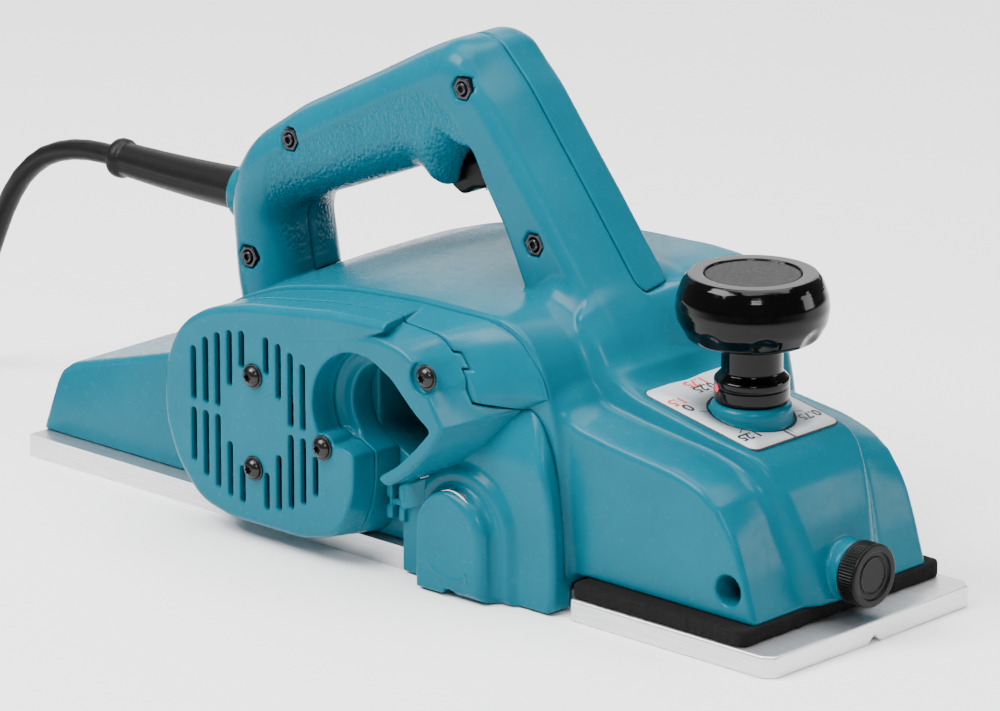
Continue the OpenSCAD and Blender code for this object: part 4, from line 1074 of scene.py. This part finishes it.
def cord_guard_mesh():
    """Tapered strain relief with an end ring and a faint parting line, slightly sagging."""
    taper = [(-124 - 2 * k, 8.2 - 1.75 * k / 31) for k in range(1, 32)]
    profile = GUARD_COLLAR + taper + GUARD_RING
    around = 72
    points = []
    for px, r in profile:
        sag = 0.55 * math.sin(math.pi * max(0, min(1, (px + 192) / 70)))
        for k in range(around):
            a = 2 * math.pi * k / around
            line = 0.28 if k in (0, around // 2) and -186 < px < -124 else 0
            points.append((px, (r - line) * math.cos(a), CORD_Z + (r - line) * math.sin(a) - sag))
    faces = []
    for i in range(len(profile) - 1):
        for k in range(around):
            n = (k + 1) % around
            faces.append((i * around + k, i * around + n, (i + 1) * around + n, (i + 1) * around + k))
    made = mesh_object("cord_strain_relief", np.array(points) * MM, np.array(faces))
    made.data.shade_smooth()
    return made


# ---------------------------------------------------------------- scale plate

PLATE_FALL = 0.1905
PLATE_TILT = math.atan(PLATE_FALL)
PLATE_CENTRE = (KNOB_X, 0, 77.62 - (KNOB_X - 96.5) * PLATE_FALL)
PLATE_CORNERS = [(-31.4, -22.8, 3), (21.6, -22.8, 3), (21.6, 22.8, 3), (-31.4, 22.8, 3)]
SCALE_TICKS = (-122, -61, 3, 63, 122, 180)
# text, place on the plate, size
SCALE_NUMBERS = [
    ("0", -14.6, -17.8, 7), ("1.25", 12.6, -15.4, 6), ("1", 19.0, -1.2, 8), ("0.75", 12.2, 17, 6),
    ("0.5", -11.5, 17.8, 6), ("0.25", -22.9, 0.2, 6)
]
SECOND_TURN = [("1.5", -19.8, -17.6, 6.4), ("1.75", -27.4, 0.4, 6.4), ("2", -17.5, 17.2, 6.4)]


def on_plate(u, v, lift):
    """Point of the plate, u forwards down the slope and v to the left, lifted off it."""
    c, s = math.cos(PLATE_TILT), math.sin(PLATE_TILT)
    return np.array([PLATE_CENTRE[0] + u * c + lift * s, v, PLATE_CENTRE[2] - u * s + lift * c])


def flat_piece(name, outer, lift, thick, hole=None):
    """Plate of that outline on the slope, closed or with a hole of the same number of points."""
    points, faces = [], []
    count = len(outer)
    inner = hole if hole is not None else np.zeros((count, 2)) + np.mean(outer, axis=0)
    for ring, height in ((outer, lift), (outer, lift + thick), (inner, lift + thick), (inner, lift)):
        points += [on_plate(u, v, height) for u, v in ring]
    for a, b in ((0, 1), (1, 2), (2, 3)):
        for k in range(count):
            n = (k + 1) % count
            faces.append((a * count + k, a * count + n, b * count + n, b * count + k))
    return mesh_object(name, np.array(points) * MM, np.array(faces))


def even_outline(points, count):
    """The outline resampled to that many points at even angles round the knob's axis."""
    angles = np.linspace(0, 2 * np.pi, count, endpoint=False)
    made = []
    ends = np.roll(points, -1, 0)
    for a in angles:
        d = np.array([math.cos(a), math.sin(a)])
        best = 0
        for p, q in zip(points, ends):
            e = q - p
            den = d[0] * e[1] - d[1] * e[0]
            if abs(den) < 1e-9:
                continue
            t = (p[0] * e[1] - p[1] * e[0]) / den
            s = (p[0] * d[1] - p[1] * d[0]) / den
            if t > 0 and -1e-6 <= s <= 1 + 1e-6:
                best = max(best, t)
        made.append(d * best)
    return np.array(made)


def make_number(name, text, u, v, size, look):
    """Digits lying on the plate, read from behind the tool."""
    data = bpy.data.curves.new(name, "FONT")
    data.body = text
    data.size = size
    data.align_x, data.align_y = "CENTER", "CENTER"
    data.extrude = 0.02
    data.offset = 0.17
    source = bpy.data.objects.new(name + "_source", data)
    bpy.context.scene.collection.objects.link(source)
    graph = bpy.context.evaluated_depsgraph_get()
    mesh = bpy.data.meshes.new_from_object(source.evaluated_get(graph))
    bpy.data.objects.remove(source)
    co = vertices(mesh)
    spots = np.array([on_plate(u + q, v - p, 0.42 + r) for p, q, r in co])
    mesh.vertices.foreach_set("co", (spots * MM).astype(np.float32).ravel())
    mesh.name = name
    made = bpy.data.objects.new(name, mesh)
    bpy.context.scene.collection.objects.link(made)
    return place(made, [], "housing", "scale_sheet", look)


def make_scale(sheet_look, ink, red_ink):
    """Sheet with a dark border, ticks and the numbers of both turns of the knob."""
    count = 180
    outer = even_outline(outline(PLATE_CORNERS), count)
    wide = [(u * 1.012 + math.copysign(0.1, u), v * 1.018, r) for u, v, r in PLATE_CORNERS]
    wide = even_outline(outline(wide), count)
    angles = np.linspace(0, 2 * np.pi, count, endpoint=False)
    hole = np.stack([16.3 * np.cos(angles), 16.0 * np.sin(angles)], 1)
    small = np.stack([15.15 * np.cos(angles), 14.85 * np.sin(angles)], 1)
    border = flat_piece("scale_border", wide, -0.25, 0.5, small)
    place(border, [], "housing", "scale_sheet", ink)
    plate = flat_piece("scale_sheet_plate", outer, -0.3, 0.68, hole)
    place(plate, ["scale_plate"], "housing", "scale_sheet", sheet_look)
    for k, angle in enumerate(SCALE_TICKS):
        a = math.radians(angle)
        d, n = np.array([math.cos(a), math.sin(a)]), np.array([-math.sin(a), math.cos(a)])
        bar = np.array([d * 15.8 - n * 0.2, d * 19.4 - n * 0.2, d * 19.4 + n * 0.2, d * 15.8 + n * 0.2])
        place(flat_piece(f"scale_tick_{k}", bar, 0.2, 0.22), [], "housing", "scale_sheet", ink)
    for k, number in enumerate(SCALE_NUMBERS):
        make_number(f"scale_number_{k}", *number, ink)
    for k, number in enumerate(SECOND_TURN):
        make_number(f"scale_second_turn_{k}", *number, red_ink)


# ---------------------------------------------------------------- helpers for pieces

def place(piece, nodes, body, slot, look):
    """Rides, replaces and takes the material; the slot is not used."""
    piece.data.materials.clear()
    piece.data.materials.append(look)
    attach(piece, body)
    if nodes:
        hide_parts(*nodes)
    return piece


def copies(shape, name, spots, node, look, low, high, step):
    """One small shape of the housing repeated at several points, for a node that holds them all."""
    first = solidify_field(f"{name}_0", shape, low, high, step)
    first.data.materials.append(look)
    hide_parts(node)
    for k, spot in enumerate(spots):
        piece = first if k == 0 else bpy.data.objects.new(f"{name}_{k}", first.data)
        if k:
            bpy.context.scene.collection.objects.link(piece)
        piece.location = Vector(spot) * MM
        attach(piece, "housing")


def bevel(node, width):
    """Rounds the edges of a CAD node."""
    modifier = NODES[node].modifiers.new("edges", "BEVEL")
    modifier.width = width * MM
    modifier.segments = 3
    modifier.limit_method = "ANGLE"
    modifier.angle_limit = math.radians(30)


def paint(look, *nodes):
    """Gives the CAD nodes that stay in sight their material."""
    for name in nodes:
        data = NODES[name].data
        data.materials.clear()
        data.materials.append(look)


# ---------------------------------------------------------------- build

def make_stage():
    bpy.ops.mesh.primitive_plane_add(size=12, location=(0, 0, 0))
    floor = bpy.context.object
    floor.name = "floor"
    look, tree, shader = material("floor_paper", (0.93, 0.93, 0.93), 0.7, specular=0.2)
    tint(tree, shader, noise(tree, 3, 4), (0.92, 0.92, 0.92), (0.94, 0.94, 0.94))
    floor.data.materials.append(look)
    world = bpy.data.worlds.new("studio")
    bpy.context.scene.world = world
    world.use_nodes = True
    world.node_tree.nodes["Background"].inputs["Color"].default_value = (1, 1, 1, 1)
    world.node_tree.nodes["Background"].inputs["Strength"].default_value = 0.2
    area_light("key", -24, 50, 1.5, 0.9, 0.7, 46)
    area_light("camera_side", 50, 31, 1.8, 0.42, 0.34, 9)
    area_light("front", 132, 12, 1.6, 0.5, 0.5, 6)
    area_light("backdrop", 222, 22, 1.8, 2.2, 0.9, 13)
    area_light("top", 160, 82, 1.6, 1.6, 1.6, 60)


make_camera()

# name: base colour, roughness, further settings of plain()
PLAIN_LOOKS = {
    "black_rubber": ((0.005, 0.005, 0.005), 0.42, dict(grain=1500, lift=0.25, specular=0.14)),
    "gloss_black": ((0.001, 0.001, 0.001), 0.09, dict(grain=900, lift=0.01, specular=0.18)),
    "black_plastic": ((0.003, 0.003, 0.003), 0.32, dict(grain=1600, lift=0.2, specular=0.12)),
    "knob_disc_plastic": ((0.005, 0.005, 0.005), 0.42, dict(grain=1800, lift=0.3, specular=0.14)),
    "scale_ink": ((0.012, 0.012, 0.012), 0.5, dict(grain=1200, lift=0.02)),
    "scale_red_ink": ((0.62, 0.035, 0.03), 0.5, dict(grain=1200, lift=0.02)),
    "scale_sheet_plastic": ((0.50, 0.53, 0.56), 0.38, dict(grain=700, lift=0.03, shade=0.05)),
    "black_steel": ((0.022, 0.021, 0.022), 0.22, dict(metallic=0.75, grain=1300, lift=0.08)),
    "blued_steel": ((0.035, 0.037, 0.042), 0.2, dict(metallic=0.85, grain=1300, lift=0.08)),
    "zinc_plated_steel": ((0.60, 0.59, 0.57), 0.27, dict(metallic=1.0, grain=800, lift=0.06)),
    "spring_steel": ((0.34, 0.34, 0.35), 0.3, dict(metallic=1.0, grain=900, lift=0.3)),
    "drum_alloy": ((0.52, 0.53, 0.55), 0.36, dict(metallic=1.0, grain=500, lift=0.1)),
    "clamp_steel": ((0.30, 0.30, 0.31), 0.4, dict(metallic=1.0, grain=600, lift=0.12)),
    "copper_wire": ((0.65, 0.24, 0.10), 0.28, dict(metallic=1.0, grain=1600, lift=0.6)),
    "brass": ((0.72, 0.50, 0.20), 0.25, dict(metallic=1.0, grain=900, lift=0.08)),
    "carbon": ((0.03, 0.03, 0.032), 0.6, dict(grain=1400, lift=0.25)),
    "capacitor_case": ((0.55, 0.42, 0.06), 0.4, dict(grain=1000, lift=0.08)),
    "tie_strap": ((0.03, 0.03, 0.03), 0.5, dict(grain=1500, lift=0.2)),
    "red_mark": ((0.70, 0.02, 0.05), 0.25, dict(grain=900, lift=0.02))
}
# name: stretch of the scratches, base colour, roughness
BRUSHED_LOOKS = {
    "aluminium_sole": ((1.0, 26.0, 26.0), (0.72, 0.72, 0.735), 0.38),
    "blade_steel": ((20.0, 1.0, 20.0), (0.58, 0.59, 0.61), 0.2),
    "core_steel": ((20.0, 120.0, 20.0), (0.24, 0.24, 0.25), 0.45)
}
looks = {"teal_plastic": teal_plastic(), "teal_plastic_grip": teal_plastic("teal_plastic_grip", grip=True)}
looks["foam_rubber"] = foam_rubber()
for name, (base, roughness, settings) in PLAIN_LOOKS.items():
    looks[name] = plain(name, base, roughness, **settings)
for name, settings in BRUSHED_LOOKS.items():
    looks[name] = brushed_aluminium(name, *settings)

# piece, shape, lowest and highest corner, step, CAD node that it replaces, body, slot, material
FIELD_PIECES = [
    ("mains_plug", plug_body, (-272, -135.5, -1), (-222, -98.5, 27), 0.55,
     "cord_plug", "housing", "black_rubber", "black_rubber"),
    ("mains_plug_pins", plug_pins, (-224, -129, 10), (-203, -105, 16), 0.3,
     None, "housing", "plated_steel", "zinc_plated_steel"),
    ("coil_tie", cord_tie, (-380, -100, -0.5), (-330, -55, 17.2), 0.4,
     "cord_tie", "housing", "black_rubber", "tie_strap"),
    ("housing_shell", main_housing, (-187, -50.5, 8), (176.5, 64.5, 188.5), 1.0,
     "main_housing", "housing", "teal_shell", "teal_plastic_grip"),
    ("handle_left_shell", handle_cover, (-116, 0, 60), (92, 22.2, 188.5), 0.8,
     "handle_cover", "housing", "teal_shell", "teal_plastic_grip"),
    ("vented_cover", chip_cover, (-95, -73.2, 7), (68, -50, 101.5), 0.55,
     "chip_cover", "housing", "teal_shell", "teal_plastic"),
    ("side_bracket_shell", side_bracket, (-97, -62, 7), (80, -50, 101.5), 0.6,
     "side_bracket", "housing", "teal_shell", "teal_plastic"),
    ("drum_side_guard", drum_guard, (5, -68, 0.4), (88, -47, 77.5), 0.45,
     "drum_guard", "housing", "teal_shell", "teal_plastic"),
    ("belt_side_cover", belt_cover, (-83, 64, 9), (85, 87, 89), 0.8,
     "belt_cover", "housing", "teal_shell", "teal_plastic"),
    ("depth_knob_grip", depth_knob, (99.5, -28, 76), (155.5, 28, 124), 0.4,
     "depth_knob", "depth_knob", "gloss_black", "gloss_black"),
    ("depth_knob_disc", knob_disc, (110, -17.5, 121.5), (145, 17.5, 123), 0.4,
     "knob_cap", "depth_knob", "gloss_black", "knob_disc_plastic"),
    ("guide_clamp_knob", guide_knob, (176, -12, 12.5), (185.5, 12, 36.5), 0.2,
     "guide_knob", "guide_clamp", "black_plastic", "black_plastic"),
    ("foam_strip", foam_seal, (90.5, -55, 8), (173, 55, 14.5), 0.6,
     "foam_seal", "housing", "black_foam", "foam_rubber"),
    ("trigger_blade", trigger, (-20, -8, 122), (16, 8, 152), 0.4,
     "trigger", "trigger", "black_plastic", "black_plastic"),
    ("lock_button_cap", lock_button, (-19.5, 12, 148.5), (-8.5, 25.5, 159.5), 0.25,
     "lock_button", "lock_button", "black_plastic", "black_plastic"),
    ("front_sole", front_shoe, (54, -55, 0), (186, 55, 20), 0.7,
     "front_shoe", "shoe", "machined_aluminium", "aluminium_sole")
]
PAINTED = {
    "aluminium_sole": ["rear_sole"],
    "zinc_plated_steel": ["depth_screw", "shoe_pins", "guide_screw", "sole_screws", "armature_shaft",
                          "drum_bearings", "motor_bearings"],
    "spring_steel": ["shoe_spring_right", "shoe_spring_left", "trigger_spring", "lock_spring"],
    "drum_alloy": ["cutter_drum"],
    "blade_steel": ["blades"],
    "clamp_steel": ["blade_clamps", "drum_pulley", "motor_pulley"],
    "core_steel": ["armature_core", "stator"],
    "copper_wire": ["armature_winding", "field_coils", "commutator"],
    "brass": ["brush_holders"],
    "carbon": ["carbon_brushes"],
    "black_plastic": ["cooling_fan", "switch_body", "cord_clamp", "brush_caps"],
    "capacitor_case": ["capacitor"],
    "black_rubber": ["drive_belt"],
    "black_steel": ["drum_bolts"],
    "red_mark": ["pointer_dot"]
}

cord, cord_length = make_cord(looks["black_rubber"])
place(cord_guard_mesh(), ["cord_guard"], "housing", "black_rubber", looks["black_rubber"])
make_stage()

made = {}
for name, shape, low, high, step, node, body, slot, look in FIELD_PIECES:
    masks = [("grip", grip_mask)] if look == "teal_plastic_grip" else []
    made[name] = solidify_field(name, shape, low, high, step, masks=masks)
    place(made[name], [node] if node else [], body, slot, looks[look])
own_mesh(made["foam_strip"])

# the fourth screw of the cover sits in a pocket of the hood
screw_y = [COVER_Y - 0.1] * 3 + [-71.0]
washer_y = [COVER_Y] * 3 + [-70.9]
copies(pan_screw, "cover_screw", [(x, y, z) for (x, z), y in zip(COVER_SCREWS, screw_y)], "cover_screws",
       looks["black_steel"], (-4.2, -3.6, -4.2), (4.2, 0.2, 4.2), 0.16)
copies(washer, "cover_washer", [(x, y, z) for (x, z), y in zip(COVER_SCREWS, washer_y)], "cover_washers",
       looks["black_steel"], (-4.8, -0.9, -4.8), (4.8, 0.1, 4.8), 0.25)
copies(hex_nut, "handle_nut", [(x, -HANDLE_HALF + 0.5, z) for x, z in HANDLE_BOLTS], "handle_nuts",
       looks["blued_steel"], (-4.7, -0.9, -4.7), (4.7, 3.4, 4.7), 0.18)
copies(bolt_head, "handle_bolt", [(x, HANDLE_HALF - 3.8, z) for x, z in HANDLE_BOLTS], "handle_screws",
       looks["blued_steel"], (-4.2, -0.2, -4.2), (4.2, 3.6, 4.2), 0.2)
copies(bolt_head, "belt_screw", [(x, 72.2, z) for x, z in BELT_SCREWS], "belt_cover_screws",
       looks["black_steel"], (-4.2, -0.2, -4.2), (4.2, 3.6, 4.2), 0.2)
make_scale(looks["scale_sheet_plastic"], looks["scale_ink"], looks["scale_red_ink"])
copies(flat_screw, "scale_screw", [on_plate(17.7, across, -0.4) for across in (-19, 19)], "scale_screws",
       looks["zinc_plated_steel"], (-2.5, -2.5, -6.1), (2.5, 2.5, 0.1), 0.2)
for look, nodes in PAINTED.items():
    paint(looks[look], *nodes)
bevel("rear_sole", 0.5)
